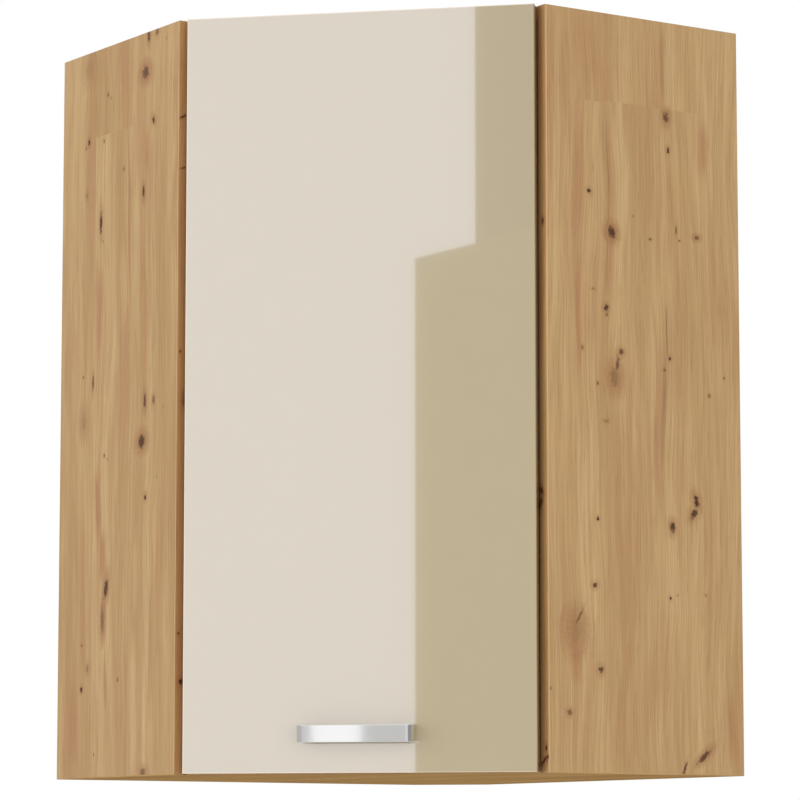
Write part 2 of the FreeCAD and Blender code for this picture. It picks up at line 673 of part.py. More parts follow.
# Handle: a bow of flat bar with two legs, and its screws
def edge_list(shape, radius, test):
    """The numbered edges that pass a test, with their rounding or bevel."""
    return [(index, radius, radius) for index, edge in enumerate(shape.Edges, start=1)
            if test(edge.BoundBox)]


def rounded_block(name, block, radius, test):
    """A block with the tested edges rounded."""
    doc.recompute()
    fillet = doc.addObject("Part::Fillet", name)
    fillet.Base = block
    fillet.Edges = edge_list(block.Shape, radius, test)
    return fillet


def handle():
    """The bow: an outer rounded block less the rounded finger gap, leaning, with threaded legs."""
    low = "-handle_height/2"
    outer = box("handle_outer", ("handle_length", "handle_reach + handle_trim", "handle_height"),
                ("-handle_length/2", "-handle_reach", low))
    inner = box("handle_inner",
                ("handle_length - 2*handle_leg", "handle_reach - handle_bar + handle_inner_round",
                 "handle_height + 2*overrun"),
                ("-handle_length/2 + handle_leg", "-handle_reach + handle_bar", low + " - overrun"))
    front = -size("handle_reach")
    tall = size("handle_height") / 2

    def outer_bend(bounds):
        return bounds.ZLength > tall and bounds.YMax < front + size("overrun")

    def inner_bend(bounds):
        return bounds.ZLength > tall and bounds.YMax < front + size("handle_bar") + size("overrun")

    bow = cut("handle_bow",
              rounded_block("handle_outer_bends", outer, size("handle_round"), outer_bend),
              [rounded_block("handle_inner_bends", inner, size("handle_inner_round"), inner_bend)])
    doc.recompute()

    def long_edge(bounds):
        flat = bounds.ZLength < size("overrun") and bounds.XLength > size("overrun")
        outer = bounds.YMin < front + size("handle_edge") and bounds.YMax < 0
        return flat and outer

    softened = doc.addObject("Part::Chamfer", "handle_soft_edges")
    softened.Base = bow
    softened.Edges = edge_list(bow.Shape, size("handle_edge"), long_edge)
    leaning = group("handle_leaning", [softened])
    leaning.Placement = Placement(Vector(), Rotation(Vector(1, 0, 0), size("handle_lean")))
    leaning.setExpression("Placement.Rotation.Angle", cell("handle_lean"))
    place(leaning, "0", "-door_thickness", "handle_z")
    behind = box("handle_behind", ("handle_length + 2*overrun", "2*handle_trim", "2*handle_height"),
                 ("-handle_length/2 - overrun", "-door_thickness", "handle_z - handle_height"))
    threads = [
        peg("handle_thread_%d" % index, "handle_screw", "handle_thread + overrun",
            ("%shandle_pitch/2" % sign, "-door_thickness - handle_thread", "handle_z"), "+y")
        for index, sign in enumerate("+-")]
    return cut("handle_drilled", leaning, [behind] + threads)


def cross_slots(name, at, radius, depth, direction):
    """The cutting shape of a cross recess in a screw head that faces a direction."""
    reach = "2*drive_share*%s" % radius
    start = "drive_share*%s" % radius
    arms = []
    for index, (wide, tall) in enumerate(((reach, "2*drive_half"), ("2*drive_half", reach))):
        half_wide = start if index == 0 else "drive_half"
        half_tall = "drive_half" if index == 0 else start
        if direction in ("+y", "-y"):
            low = at[1] + (" - " + depth if direction == "+y" else "")
            arms.append(box("%s_%d" % (name, index), (wide, depth, tall),
                            (at[0] + " - " + half_wide, low, at[2] + " - " + half_tall)))
        else:
            low = at[0] + (" - " + depth if direction == "+x" else "")
            arms.append(box("%s_%d" % (name, index), (depth, wide, tall),
                            (low, at[1] + " - " + half_wide, at[2] + " - " + half_tall)))
    return fuse(name, arms)


def screw(name, at, radius, length, head_radius, head, direction="+y"):
    """A screw whose head's underside lies at a point, with the shank behind it."""
    back = {"+y": "-y", "-y": "+y", "+x": "-x"}[direction]
    shank = peg(name + "_shank", radius, length, at, back)
    cap = peg(name + "_cap", head_radius, head, at, direction)
    top = list(at)
    index = 1 if direction[1] == "y" else 0
    top[index] = at[index] + (" + " if direction[0] == "+" else " - ") + head
    slots = cross_slots(name + "_recess", top, head_radius, "drive_share*" + head, direction)
    return cut(name, fuse(name + "_blank", [shank, cap]), [slots])


node("handle", on_door(handle()))
node("handle_screws", on_door(group("handle_screw_pair", [
    screw("handle_screw_%d" % index, ("%shandle_pitch/2" % sign, "0", "handle_z"), "handle_screw",
          "door_thickness + handle_thread", "handle_head_radius", "handle_head")
    for index, sign in enumerate("+-")])))

bumper = peg("bumper", "bumper_radius", "door_gap + panel_setback - bumper_play",
             ("-(%s) - bumper_inset" % DOOR_EDGE, "0", "board/2"), "+y")
node("door_bumpers", on_door(both_heights("bumpers", bumper)))


# Hinges: a cup in the door, a cranked arm on a mounting plate, and one upright pin
def hinge_cup():
    """The lower cup with its flange, screw ears, pivot ears and the notch for the arm."""
    z = "hinge_height"
    shell = peg("cup_shell", "cup_radius", "cup_depth", (CUP_X, "-cup_depth", z), "+y", "cup_sides")
    rim = peg("cup_rim", "cup_radius + flange_rim", "flange", (CUP_X, "0", z), "+y", "cup_sides")
    bridge = box("cup_bridge", ("ear_width", "flange", "cup_screw_spacing"),
                 (CUP_SCREW_X + " - ear_width/2", "0", z + " - cup_screw_spacing/2"))
    ear_ends = [peg("cup_ear_end_%d" % index, "ear_radius", "flange",
                    (CUP_SCREW_X, "0", z + " %s cup_screw_spacing/2" % sign), "+y", "cam_sides")
                for index, sign in enumerate("+-")]
    hollow = peg("cup_hollow", "cup_radius - cup_wall", "cup_depth - cup_wall + flange + overrun",
                 (CUP_X, "-cup_depth + cup_wall", z), "+y", "cup_sides")
    notch = box("cup_notch", ("cup_radius", "cup_depth - cup_wall + flange + overrun",
                              "2*arm_half + 2*ear_gap"),
                (CUP_X + " - cup_radius - flange_rim - overrun", "-cup_depth + cup_wall",
                 z + " - arm_half - ear_gap"))
    screw_holes = [peg("cup_screw_hole_%d" % index, "small_screw_radius", "flange + 2*overrun",
                       (CUP_SCREW_X, "-overrun", z + " %s cup_screw_spacing/2" % sign), "+y")
                   for index, sign in enumerate("+-")]
    body = cut("cup_pressing", fuse("cup_blank", [shell, rim, bridge] + ear_ends),
               [hollow, notch] + screw_holes)
    ears = []
    lows = (z + " + arm_half + ear_gap", z + " - arm_half - ear_gap - pivot_ear")
    for index, low in enumerate(lows):
        ears.append(box("pivot_ear_%d" % index,
                        ("2*knuckle_radius + cup_wall", "cup_depth - pivot_depth + knuckle_radius",
                         "pivot_ear"),
                        (PIVOT_X + " - knuckle_radius", "-cup_depth", low)))
    inner = peg("cup_inside", "cup_radius", "cup_depth", (CUP_X, "-cup_depth", z), "+y",
                "cup_sides")
    held = common("pivot_ears", group("pivot_ear_pair", ears), inner)
    bore = rod("pivot_bore", "pivot_radius", "2*(arm_half + ear_gap + pivot_ear)",
               (PIVOT_X, "-pivot_depth", z + " - arm_half - ear_gap - pivot_ear"))
    return cut("cup", fuse("cup_with_ears", [body, held]), [bore])


def hinge_pin():
    """The upright pin held in the cup's two pivot ears."""
    return rod("hinge_pin", "pivot_radius", "2*(arm_half + ear_gap + pivot_ear)",
               (PIVOT_X, "-pivot_depth", "hinge_height - arm_half - ear_gap - pivot_ear"))


def hinge_spring():
    """The closing spring: a leaf on the cup's floor with one end bent up against the wall."""
    start = DOOR_EDGE + " + spring_start"
    floor = "-cup_depth + cup_wall"
    leaf = box("spring_leaf", ("spring_end - spring_start", "spring_leaf", "2*arm_half"),
               (start, floor, "hinge_height - arm_half"))
    end = box("spring_end", ("spring_leaf", "spring_height", "2*arm_half"),
              (DOOR_EDGE + " + spring_end - spring_leaf", floor, "hinge_height - arm_half"))
    return fuse("hinge_spring", [leaf, end])


# Places on the side panel's inner face, from its front edge and away from it
FACE_X = DOOR_EDGE
FACE_Y = "door_gap"


def on_face(obj):
    """Turn a shape from the frame of the side panel's inner face into the door's local frame."""
    obj.Placement = Placement(Vector(), Rotation(Vector(0, 0, 1), 135))
    return place(obj, FACE_X, FACE_Y, "0")


def hinge_arm():
    """The lower arm: a knuckle on the pin, three legs round the door's edge, and a foot."""
    z = "hinge_height"
    low = z + " - arm_half"
    turn = DOOR_EDGE + " + arm_turn"
    knuckle = peg("arm_knuckle", "knuckle_radius", "2*arm_half", (PIVOT_X, "-pivot_depth", low),
                  sides="cam_sides")
    reach = box("arm_reach", ("arm_turn - pivot_edge + arm_plate/2", "arm_plate", "2*arm_half"),
                (PIVOT_X, "-pivot_depth - arm_plate/2", low))
    rise = box("arm_rise_leg", ("arm_plate", "pivot_depth + arm_rise + arm_plate", "2*arm_half"),
               (turn + " - arm_plate/2", "-pivot_depth - arm_plate/2", low))
    foot_level = "plate_height + arm_plate/2"
    bend = "door_gap + %s*(%s) - arm_rise" % (ROOT2, foot_level)
    crossing = box("arm_crossing", ("arm_turn - (%s) + arm_plate/2" % bend, "arm_plate", "2*arm_half"),
                   (DOOR_EDGE + " + " + bend, "arm_rise - arm_plate/2", low))
    corner = peg("arm_corner", "arm_plate/2", "2*arm_half",
                 (DOOR_EDGE + " + " + bend, "arm_rise", low))
    bend_inset = "(arm_rise - door_gap - (%s))/%s" % (bend, ROOT2)
    neck = box("arm_neck", ("plate_front - (%s)" % bend_inset, "arm_plate", "2*arm_half"),
               (bend_inset, "-plate_height - arm_plate", low))
    foot = box("arm_foot", ("arm_length - plate_front", "arm_plate", "2*foot_half"),
               ("plate_front", "-plate_height - arm_plate", z + " - foot_half"))
    foot_holes = [
        peg("arm_lock_hole", "lock_radius", "arm_plate + 2*overrun",
            ("lock_inset", "-plate_height + overrun", z), "-y"),
        peg("arm_adjust_hole", "adjust_radius", "arm_plate + 2*overrun",
            ("adjust_inset", "-plate_height + overrun", z), "-y")]
    foot_solid = on_face(cut("arm_foot_drilled", fuse("arm_foot_blank", [neck, foot]), foot_holes))
    legs = fuse("arm_legs", [knuckle, reach, rise, crossing, corner, foot_solid])
    bore = rod("arm_bore", "pivot_radius + pivot_play", "2*arm_half + 2*overrun",
               (PIVOT_X, "-pivot_depth", low + " - overrun"))
    return cut("hinge_arm", legs, [bore])


def mounting_plate():
    """The lower mounting plate: a body under the arm's foot and two wings with screw holes."""
    z = "hinge_height"
    body = box("plate_body", ("arm_length - plate_front", "plate_height", "2*plate_half"),
               ("plate_front", "-plate_height", z + " - plate_half"))
    wings = box("plate_wings", ("wing_width", "wing_thickness", "2*wing_half"),
                ("system_inset - wing_width/2", "-wing_thickness", z + " - wing_half"))
    holes = [peg("wing_hole_%d" % index, "euro_radius", "wing_thickness + 2*overrun",
                 ("system_inset", "overrun", height), "-y")
             for index, height in enumerate(plate_screw_places())]
    lock_hole = peg("plate_lock_hole", "lock_radius", "plate_height + 2*overrun",
                    ("lock_inset", "overrun", z), "-y")
    return on_face(cut("mounting_plate", fuse("plate_blank", [body, wings]), holes + [lock_hole]))


def plate_screws():
    """The two screws of the lower mounting plate."""
    return on_face(group("plate_screw_pair", [
        screw("plate_screw_%d" % index, ("system_inset", "-wing_thickness", height), "euro_radius",
              "wing_thickness + euro_length", "euro_head_radius", "euro_head", "-y")
        for index, height in enumerate(plate_screw_places())]))


def lock_screw():
    """The screw that holds the arm's foot on the mounting plate."""
    return on_face(group("lock_screw_place", [
        screw("lock_screw", ("lock_inset", "-plate_height - arm_plate", "hinge_height"),
              "lock_radius", "arm_plate + plate_height", "lock_head_radius", "euro_head", "-y")]))


def adjust_screw():
    """The side adjusting screw, from the arm to the side panel's face."""
    return on_face(group("adjust_screw_place", [
        peg("adjust_screw", "adjust_radius", "plate_height + arm_plate",
            ("adjust_inset", "0", "hinge_height"), "-y")]))


HINGE_PARTS = (
    ("hinge_cups", hinge_cup), ("hinge_pins", hinge_pin), ("hinge_springs", hinge_spring),
    ("hinge_arms", hinge_arm), ("hinge_plates", mounting_plate), ("plate_screws", plate_screws),
    ("arm_lock_screws", lock_screw), ("arm_adjust_screws", adjust_screw))
for name, make in HINGE_PARTS:
    node(name, on_door(both_heights(name + "_pair", make())))
node("cup_screws", on_door(both_heights("cup_screw_set", group("cup_screw_pair", [
    screw("cup_screw_%d" % index, (CUP_SCREW_X, "flange", "hinge_height %s cup_screw_spacing/2" % sign),
          "small_screw_radius", "flange + small_screw_length", "small_head_radius", "small_head")
    for index, sign in enumerate("+-")]))))


# Hangers: a housing on the side panel, a slider that goes up and down in it, and a hook that
# goes in and out of the slider and hangs on a plate on the wall
HANGER_BOTTOM = "cabinet_height - board - hanger_drop - hanger_height"
HANGER_Z = HANGER_BOTTOM + " + hanger_height/2"
HANGER_Y = "%s + hanger_width/2" % LEFT_FACE
TAIL_X = "%s + hook_travel_x + 2*slide_play" % HANGER_X
SLIDER_X = "%s + slide_play" % HANGER_X
CAVITY_WIDTH = "hanger_width - 2*hanger_wall"
LIP_X = "-%s + rail_step" % HALF


def hanger_housing():
    """The housing with its cavity, the driver opening and the holes for its screws."""
    shell = box("housing_block", ("hanger_length", "hanger_width", "hanger_height"),
                (HANGER_X, LEFT_FACE, HANGER_BOTTOM))
    cavity = box("housing_cavity", ("hanger_length - hanger_wall + overrun", CAVITY_WIDTH,
                                    "hanger_height - 2*hanger_end"),
                 (HANGER_X + " - overrun", LEFT_FACE + " + hanger_wall",
                  HANGER_BOTTOM + " + hanger_end"))
    driver = box("driver_opening",
                 ("hanger_wall + 2*overrun", "2*driver_radius", "2*driver_radius + 2*hook_travel_z"),
                 (HANGER_X + " + hanger_length - hanger_wall - overrun", HANGER_Y + " - driver_radius",
                  HANGER_Z + " - driver_radius - hook_travel_z"))
    screw_holes = [peg("housing_hole_%d" % index, "hanger_screw_radius", "hanger_width + 2*overrun",
                       (HANGER_SCREW_X, LEFT_FACE + " - overrun", z), "+y")
                   for index, z in enumerate(hanger_screw_places())]
    height_hole = peg("housing_height_hole", "height_screw_radius", "hanger_end + 2*overrun",
                      (HANGER_X + " + height_screw_x", HANGER_Y,
                       HANGER_BOTTOM + " + hanger_height - hanger_end - overrun"))
    return cut("hanger_housing", shell, [cavity, driver, height_hole] + screw_holes)


def hanger_slider():
    """The slider with its slot for the hook and its two screw bores."""
    low = HANGER_Z + " - slider_height/2"
    block = box("slider_block", ("slider_length", CAVITY_WIDTH + " - 2*slide_play", "slider_height"),
                (SLIDER_X, LEFT_FACE + " + hanger_wall + slide_play", low))
    slot = box("slider_slot",
               ("hook_travel_x + hook_tail + 2*slide_play + overrun", "hook_tail_width + 2*slide_play",
                "hook_height + 2*slide_play"),
               (SLIDER_X + " - overrun", HANGER_Y + " - hook_tail_width/2 - slide_play",
                HANGER_Z + " - hook_height/2 - slide_play"))
    depth_bore = peg("slider_depth_bore", "depth_screw_radius", "slider_length + overrun",
                     (SLIDER_X, HANGER_Y, HANGER_Z), "+x")
    height_bore = peg("slider_height_bore", "height_screw_radius + slide_play",
                      "height_bore_depth + overrun",
                      (HANGER_X + " + height_screw_x", HANGER_Y,
                       low + " + slider_height - height_bore_depth"))
    return cut("hanger_slider", block, [slot, depth_bore, height_bore])


def hanger_hook():
    """The hook: a flat shank with a tooth that drops behind the wall plate's lip, and a tail block."""
    rear = LIP_X + " - hook_tooth"
    tooth_end = "-hook_height/2 - hook_tooth_drop"
    shank = outline("hook_shank", "XZ_Plane", [
        (rear, tooth_end), (LIP_X, tooth_end), (LIP_X, "-hook_height/2"), (TAIL_X, "-hook_height/2"),
        (TAIL_X, "hook_height/2"), (rear, "hook_height/2")], "hook_thickness", middle=True)
    place(shank, "0", HANGER_Y, HANGER_Z)
    tail = box("hook_tail_block", ("hook_tail", "hook_tail_width", "hook_height"),
               (TAIL_X, HANGER_Y + " - hook_tail_width/2", HANGER_Z + " - hook_height/2"))
    bore = peg("hook_bore", "depth_screw_radius + hook_bore_play", "hook_tail + overrun",
               (TAIL_X, HANGER_Y, HANGER_Z), "+x")
    return cut("hanger_hook", fuse("hook_blank", [shank, tail]), [bore])


def wall_plate():
    """The plate on the wall: a foot with two screw holes and a lip that stands off the wall."""
    wall = "-" + HALF
    lip_top = "-hook_height/2"
    step = "-hook_height/2 - rail_lip"
    foot = step + " - rail_height"
    under = step + " - rail_thickness"
    lip_front = LIP_X + " + rail_thickness"
    profile = outline("wall_plate_profile", "XZ_Plane", [
        (wall, foot), (wall + " + rail_thickness", foot), (wall + " + rail_thickness", under),
        (lip_front, under), (lip_front, lip_top), (LIP_X, lip_top), (LIP_X, step), (wall, step)],
        "rail_length", middle=True)
    middle = LEFT_FACE + " + rail_start + rail_length/2"
    place(profile, "0", middle, HANGER_Z)
    hole_z = HANGER_Z + " - hook_height/2 - rail_lip - (rail_height + rail_thickness)/2"
    holes = [rod("wall_hole_%d" % index, "rail_hole", "rail_thickness + 2*overrun",
                 (wall + " - overrun", middle + " %s rail_hole_pitch/2" % sign, hole_z), "+x")
             for index, sign in enumerate("+-")]
    return cut("wall_plate", profile, holes)


def hanger_cap():
    """The cover cap: a thin tray over the housing, open to the side panel and the back."""
    spare = "hanger_head + cap_play"
    inner = box("cap_inner",
                ("hanger_length + cap_play + overrun", "hanger_width + %s + overrun" % spare,
                 "hanger_height + %s + cap_play" % spare),
                (HANGER_X + " - overrun", LEFT_FACE + " - overrun", HANGER_BOTTOM + " - cap_play"))
    outer = box("cap_outer",
                ("hanger_length + cap_play + cap_wall", "hanger_width + %s + cap_wall" % spare,
                 "hanger_height + %s + cap_play + 2*cap_wall" % spare),
                (HANGER_X, LEFT_FACE, HANGER_BOTTOM + " - cap_play - cap_wall"))
    return cut("hanger_cap", outer, [inner])


def both_sides(name, shapes):
    """Pieces of the left hanger and their mirror images in one node."""
    left = group(name + "_of_left", shapes)
    return group(name, [left, mirror(name + "_of_right", left, "sides")])


hook_slot = box("hook_slot",
                ("back_thickness + 2*overrun", "hook_thickness + 2*hook_slot_play",
                 "hook_height + hook_tooth_drop + 2*hook_travel_z + 2*hook_slot_play"),
                (HANGER_X + " - back_thickness - overrun",
                 HANGER_Y + " - hook_thickness/2 - hook_slot_play",
                 HANGER_Z + " - hook_height/2 - hook_tooth_drop - hook_travel_z - hook_slot_play"))
left_and_right("back_panel", cut("back_left", back_blank("back_sheet", "0"), [hook_slot]))
left_and_right("hanger_housing", hanger_housing())
left_and_right("hanger_slider", hanger_slider())
left_and_right("hanger_hook", hanger_hook())
left_and_right("wall_plate", wall_plate())
left_and_right("hanger_cap", hanger_cap())
depth_shank = "slider_length - hook_travel_x - slide_play - depth_screw_cover"
depth_screw = screw("depth_screw", (SLIDER_X + " + slider_length", HANGER_Y, HANGER_Z),
                    "depth_screw_radius", depth_shank, "hanger_head_radius", "hanger_head", "+x")
left_and_right("hanger_depth_screw", depth_screw)
height_x = HANGER_X + " + height_screw_x"
height_shank = peg("height_shank", "height_screw_radius",
                   "(hanger_height - slider_height)/2 + height_screw_reach",
                   (height_x, HANGER_Y, HANGER_Z + " + slider_height/2 - height_screw_reach"))
height_head = peg("height_head", "hanger_head_radius", "hanger_head",
                  (height_x, HANGER_Y, HANGER_BOTTOM + " + hanger_height"))
height_screw = fuse("height_screw", [height_shank, height_head])
node("hanger_height_screws", both_sides("height_screws", [height_screw]))
node("hanger_screws", both_sides("fixing_screws", [
    screw("fixing_screw_%d" % index, (HANGER_SCREW_X, LEFT_FACE + " + hanger_width", z),
          "hanger_screw_radius", "hanger_width + hanger_screw_length",
          "hanger_head_radius", "hanger_head")
    for index, z in enumerate(hanger_screw_places())]))


# Write every piece, after a check of the whole document
doc.recompute()
faults = [obj.Name for obj in doc.Objects if {"Invalid", "Error"} & set(obj.State)]
if faults:
    raise RuntimeError("failed objects: " + ", ".join(faults))
for name, obj in NODES.items():
    if obj.Shape.isNull() or not obj.Shape.isValid():
        raise RuntimeError("bad shape: " + name)
os.makedirs("parts", exist_ok=True)
for name, obj in NODES.items():
    obj.Shape.exportStep("parts/%s.step" % name)
    bounds = obj.Shape.BoundBox
    print("%-24s solids %2d  volume %12.1f  x %7.1f %7.1f  y %7.1f %7.1f  z %7.1f %7.1f" % (
        name, len(obj.Shape.Solids), obj.Shape.Volume, bounds.XMin, bounds.XMax,
        bounds.YMin, bounds.YMax, bounds.ZMin, bounds.ZMax))
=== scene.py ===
import json
import math

import bpy
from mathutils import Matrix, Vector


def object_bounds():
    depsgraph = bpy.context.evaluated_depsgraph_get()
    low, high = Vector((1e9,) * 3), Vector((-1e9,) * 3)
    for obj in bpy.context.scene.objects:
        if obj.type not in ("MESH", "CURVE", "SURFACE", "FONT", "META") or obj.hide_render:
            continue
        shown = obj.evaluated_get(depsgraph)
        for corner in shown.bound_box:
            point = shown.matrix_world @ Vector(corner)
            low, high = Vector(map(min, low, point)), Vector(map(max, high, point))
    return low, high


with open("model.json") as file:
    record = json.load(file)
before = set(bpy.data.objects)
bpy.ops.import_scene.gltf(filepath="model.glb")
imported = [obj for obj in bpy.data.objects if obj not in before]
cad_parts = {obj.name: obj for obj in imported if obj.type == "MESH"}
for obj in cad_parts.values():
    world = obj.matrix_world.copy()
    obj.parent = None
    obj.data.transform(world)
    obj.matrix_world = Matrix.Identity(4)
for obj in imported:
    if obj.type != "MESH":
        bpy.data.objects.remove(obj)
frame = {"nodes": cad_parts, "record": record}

size_at_start = [list(corner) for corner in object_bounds()]

MM = 0.001
HALF_WIDTH = round(size_at_start[1][0], 4)
HEIGHT = round(size_at_start[1][2], 4)

# Directions: the left panel lies along X, the right panel along Y, and the door between them
HALF_ROOT = math.sqrt(0.5)
FROM_LEFT_WALL = (1, 0, 0)
FROM_RIGHT_WALL = (0, -1, 0)
TO_LEFT_WALL = (-1, 0, 0)
TO_RIGHT_WALL = (0, 1, 0)
ALONG_DOOR = (HALF_ROOT, HALF_ROOT, 0)
UPWARDS = (0, 0, 1)


# Shader helpers
def linear(red, green, blue):
    """A colour written as 0 to 255 sRGB values, as the shader's linear colour."""
    def one(value):
        part = value / 255
        return part / 12.92 if part <= 0.04045 else ((part + 0.055) / 1.055) ** 2.4
    return (one(red), one(green), one(blue), 1.0)


def numbered(*values):
    """A node's inputs by number, in order."""
    return dict(enumerate(values))


# The colour sockets of the Mix node, by number
MIX_SHARE, MIX_FIRST, MIX_SECOND, MIX_RESULT = 0, 6, 7, 2


class Graph:
    """Short calls that build shader nodes in one tree."""

    def __init__(self, tree):
        self.tree = tree

    def feed(self, node, inputs):
        """Links the sockets among the inputs to the node, and sets the plain values."""
        for key, value in inputs.items():
            if isinstance(value, bpy.types.NodeSocket):
                self.tree.links.new(value, node.inputs[key])
            else:
                node.inputs[key].default_value = value
        return node

    def add(self, kind, inputs=None, **settings):
        """A new node: the settings are its own properties, such as its operation."""
        node = self.tree.nodes.new(kind)
        for name, value in settings.items():
            setattr(node, name, value)
        return self.feed(node, inputs or {})

    def math(self, operation, first, second):
        return self.add("ShaderNodeMath", numbered(first, second), operation=operation).outputs[0]

    def plus(self, first, second):
        return self.math("ADD", first, second)

    def times(self, first, second):
        return self.math("MULTIPLY", first, second)

    def larger(self, first, second):
        return self.math("MAXIMUM", first, second)

    def vector(self, operation, first, second=(0, 0, 0)):
        return self.add("ShaderNodeVectorMath", numbered(first, second), operation=operation).outputs[0]

    def measure(self, operation, first, second=(0, 0, 0)):
        """The number that a vector operation such as LENGTH gives."""
        return self.add("ShaderNodeVectorMath", numbered(first, second), operation=operation).outputs[1]

    def scaled(self, vector, factor):
        return self.add("ShaderNodeVectorMath", {0: vector, "Scale": factor}, operation="SCALE").outputs[0]

    def join(self, x, y, z=0.0):
        return self.add("ShaderNodeCombineXYZ", numbered(x, y, z)).outputs[0]

    def split(self, vector):
        return self.add("ShaderNodeSeparateXYZ", {0: vector}).outputs

    def step(self, value, low, high):
        """A smooth rise from 0 at low to 1 at high, or a fall where high is the smaller."""
        node = self.add("ShaderNodeMapRange", numbered(value, low, high), interpolation_type="SMOOTHSTEP")
        return node.outputs[0]

    def line(self, value, low, high, to_low, to_high):
        """A straight rise from to_low at low to to_high at high, and level outside them."""
        return self.add("ShaderNodeMapRange", numbered(value, low, high, to_low, to_high)).outputs[0]

    def place(self):
        """The object's own coordinates, in metres."""
        return self.add("ShaderNodeTexCoord").outputs["Object"]

    def noise(self, place, scale=1.0, detail=2.0, rough=0.5):
        return self.noise_node(place, scale, detail, rough).outputs[0]

    def noise_node(self, place, scale=1.0, detail=2.0, rough=0.5):
        inputs = {"Vector": place, "Scale": scale, "Detail": detail, "Roughness": rough}
        return self.add("ShaderNodeTexNoise", inputs)

    def relief(self, height, depth):
        """A normal for a surface that rises by the depth in metres as the height goes to 1."""
        return self.add("ShaderNodeBump", {"Height": height, "Distance": depth}).outputs[0]

    def paint(self, share, first, second, kind="MIX"):
        """The first colour with a share of the second painted on it."""
        node = self.add("ShaderNodeMix", data_type="RGBA", blend_type=kind)
        return self.feed(node, {MIX_SHARE: share, MIX_FIRST: first, MIX_SECOND: second}).outputs[MIX_RESULT]


def material(name):
    """An empty node material and its graph."""
    made = bpy.data.materials.new(name)
    made.use_nodes = True
    made.node_tree.nodes.clear()
    return made, Graph(made.node_tree)


def show(graph, surface):
    """Leads a shader to the material's output."""
    graph.add("ShaderNodeOutputMaterial", {"Surface": surface})


def finish_surface(graph, **inputs):
    """Adds the Principled shader and the output; the keys are its socket names with _ for a space."""
    sockets = {key.replace("_", " "): value for key, value in inputs.items()}
    show(graph, graph.add("ShaderNodeBsdfPrincipled", sockets).outputs[0])


def node_group(name, inputs, outputs):
    """A node group with these sockets, its graph, and the values that it is given."""
    group = bpy.data.node_groups.new(name, "ShaderNodeTree")
    for way, sockets in (("INPUT", inputs), ("OUTPUT", outputs)):
        for title, kind in sockets.items():
            group.interface.new_socket(title, in_out=way, socket_type=f"NodeSocket{kind}")
    graph = Graph(group)
    return group, graph, graph.add("NodeGroupInput").outputs


# Keeps the first two parts of a vector and drops the third
FLAT = (1, 1, 0)

# Knots: where the core, the halo and the pull on the grain begin and are whole, in half sizes of the knot
CORE_RANGE = (1.12, 0.5)
HALO_RANGE = (2.8, 0.8)
PULL_RANGE = (1.0, 0.0)
PULL_REACH = (3.0, 2.2, 1.0)
PULL_SHARE = -0.8

# Streaks: where they begin and are whole across and along, in half sizes of the streak
ACROSS_RANGE = (1.3, 0.2)
ALONG_RANGE = (1.2, 0.3)


def knot_group():
    """One knot. The state holds the place across, the place along and the darkness so far."""
    group, graph, given = node_group(
        "knot",
        {"State": "Vector", "Halo": "Float", "Rough": "Vector", "Centre": "Vector", "Half": "Vector",
         "Lean": "Float", "Strength": "Float", "Glow": "Float"},
        {"State": "Vector", "Halo": "Float"})
    across, along, darkness = graph.split(given["State"])
    away = graph.vector("MULTIPLY", graph.vector("SUBTRACT", given["State"], given["Centre"]), FLAT)
    turned = graph.add("ShaderNodeVectorRotate", {"Vector": away, "Angle": given["Lean"]},
                       rotation_type="Z_AXIS").outputs[0]
    sized = graph.vector("DIVIDE", turned, given["Half"])
    distance = graph.measure("LENGTH", graph.vector("ADD", sized, given["Rough"]))
    core = graph.times(graph.step(distance, *CORE_RANGE), given["Strength"])
    halo = graph.times(graph.step(distance, *HALO_RANGE), given["Glow"])
    wide = graph.measure("LENGTH", graph.vector("DIVIDE", sized, PULL_REACH))
    pull = graph.times(graph.step(wide, *PULL_RANGE), graph.times(given["Glow"], PULL_SHARE))
    bent = graph.plus(across, graph.times(graph.split(away)[0], pull))
    state = graph.join(bent, along, graph.larger(darkness, core))
    graph.add("NodeGroupOutput", {"State": state, "Halo": graph.larger(given["Halo"], halo)})
    return group


def streak_group():
    """One upright streak, with the same kind of state."""
    group, graph, given = node_group(
        "streak",
        {"State": "Vector", "Middle": "Vector", "Half": "Vector", "Strength": "Float"},
        {"State": "Vector"})
    u, v, darkness = graph.split(given["State"])
    away = graph.vector("ABSOLUTE", graph.vector("SUBTRACT", given["State"], given["Middle"]))
    across, along, _ = graph.split(graph.vector("DIVIDE", away, given["Half"]))
    shape = graph.times(graph.step(across, *ACROSS_RANGE), graph.step(along, *ALONG_RANGE))
    darkness = graph.larger(darkness, graph.times(shape, given["Strength"]))
    graph.add("NodeGroupOutput", {"State": graph.join(u, v, darkness)})
    return group


KNOT = knot_group()
STREAK = streak_group()


def chain(graph, group, state, rows, **shared):
    """Runs the state through one group node for each row of inputs, and gives the last node's outputs."""
    for row in rows:
        node = graph.add("ShaderNodeGroup", node_tree=group)
        graph.feed(node, {"State": state, **shared, **row})
        state = node.outputs["State"]
        shared = {key: node.outputs.get(key, value) for key, value in shared.items()}
    return node.outputs


def streaks(graph, place, rows):
    """The strength of a list of streaks: across, lower end, upper end, width in mm and strength."""
    inputs = [{"Middle": (across * MM, (low + high) / 2 * MM, 0),
               "Half": (width / 2 * MM, (high - low) / 2 * MM, 1),
               "Strength": strength} for across, low, high, width, strength in rows]
    return graph.split(chain(graph, STREAK, place, inputs)["State"])[2]


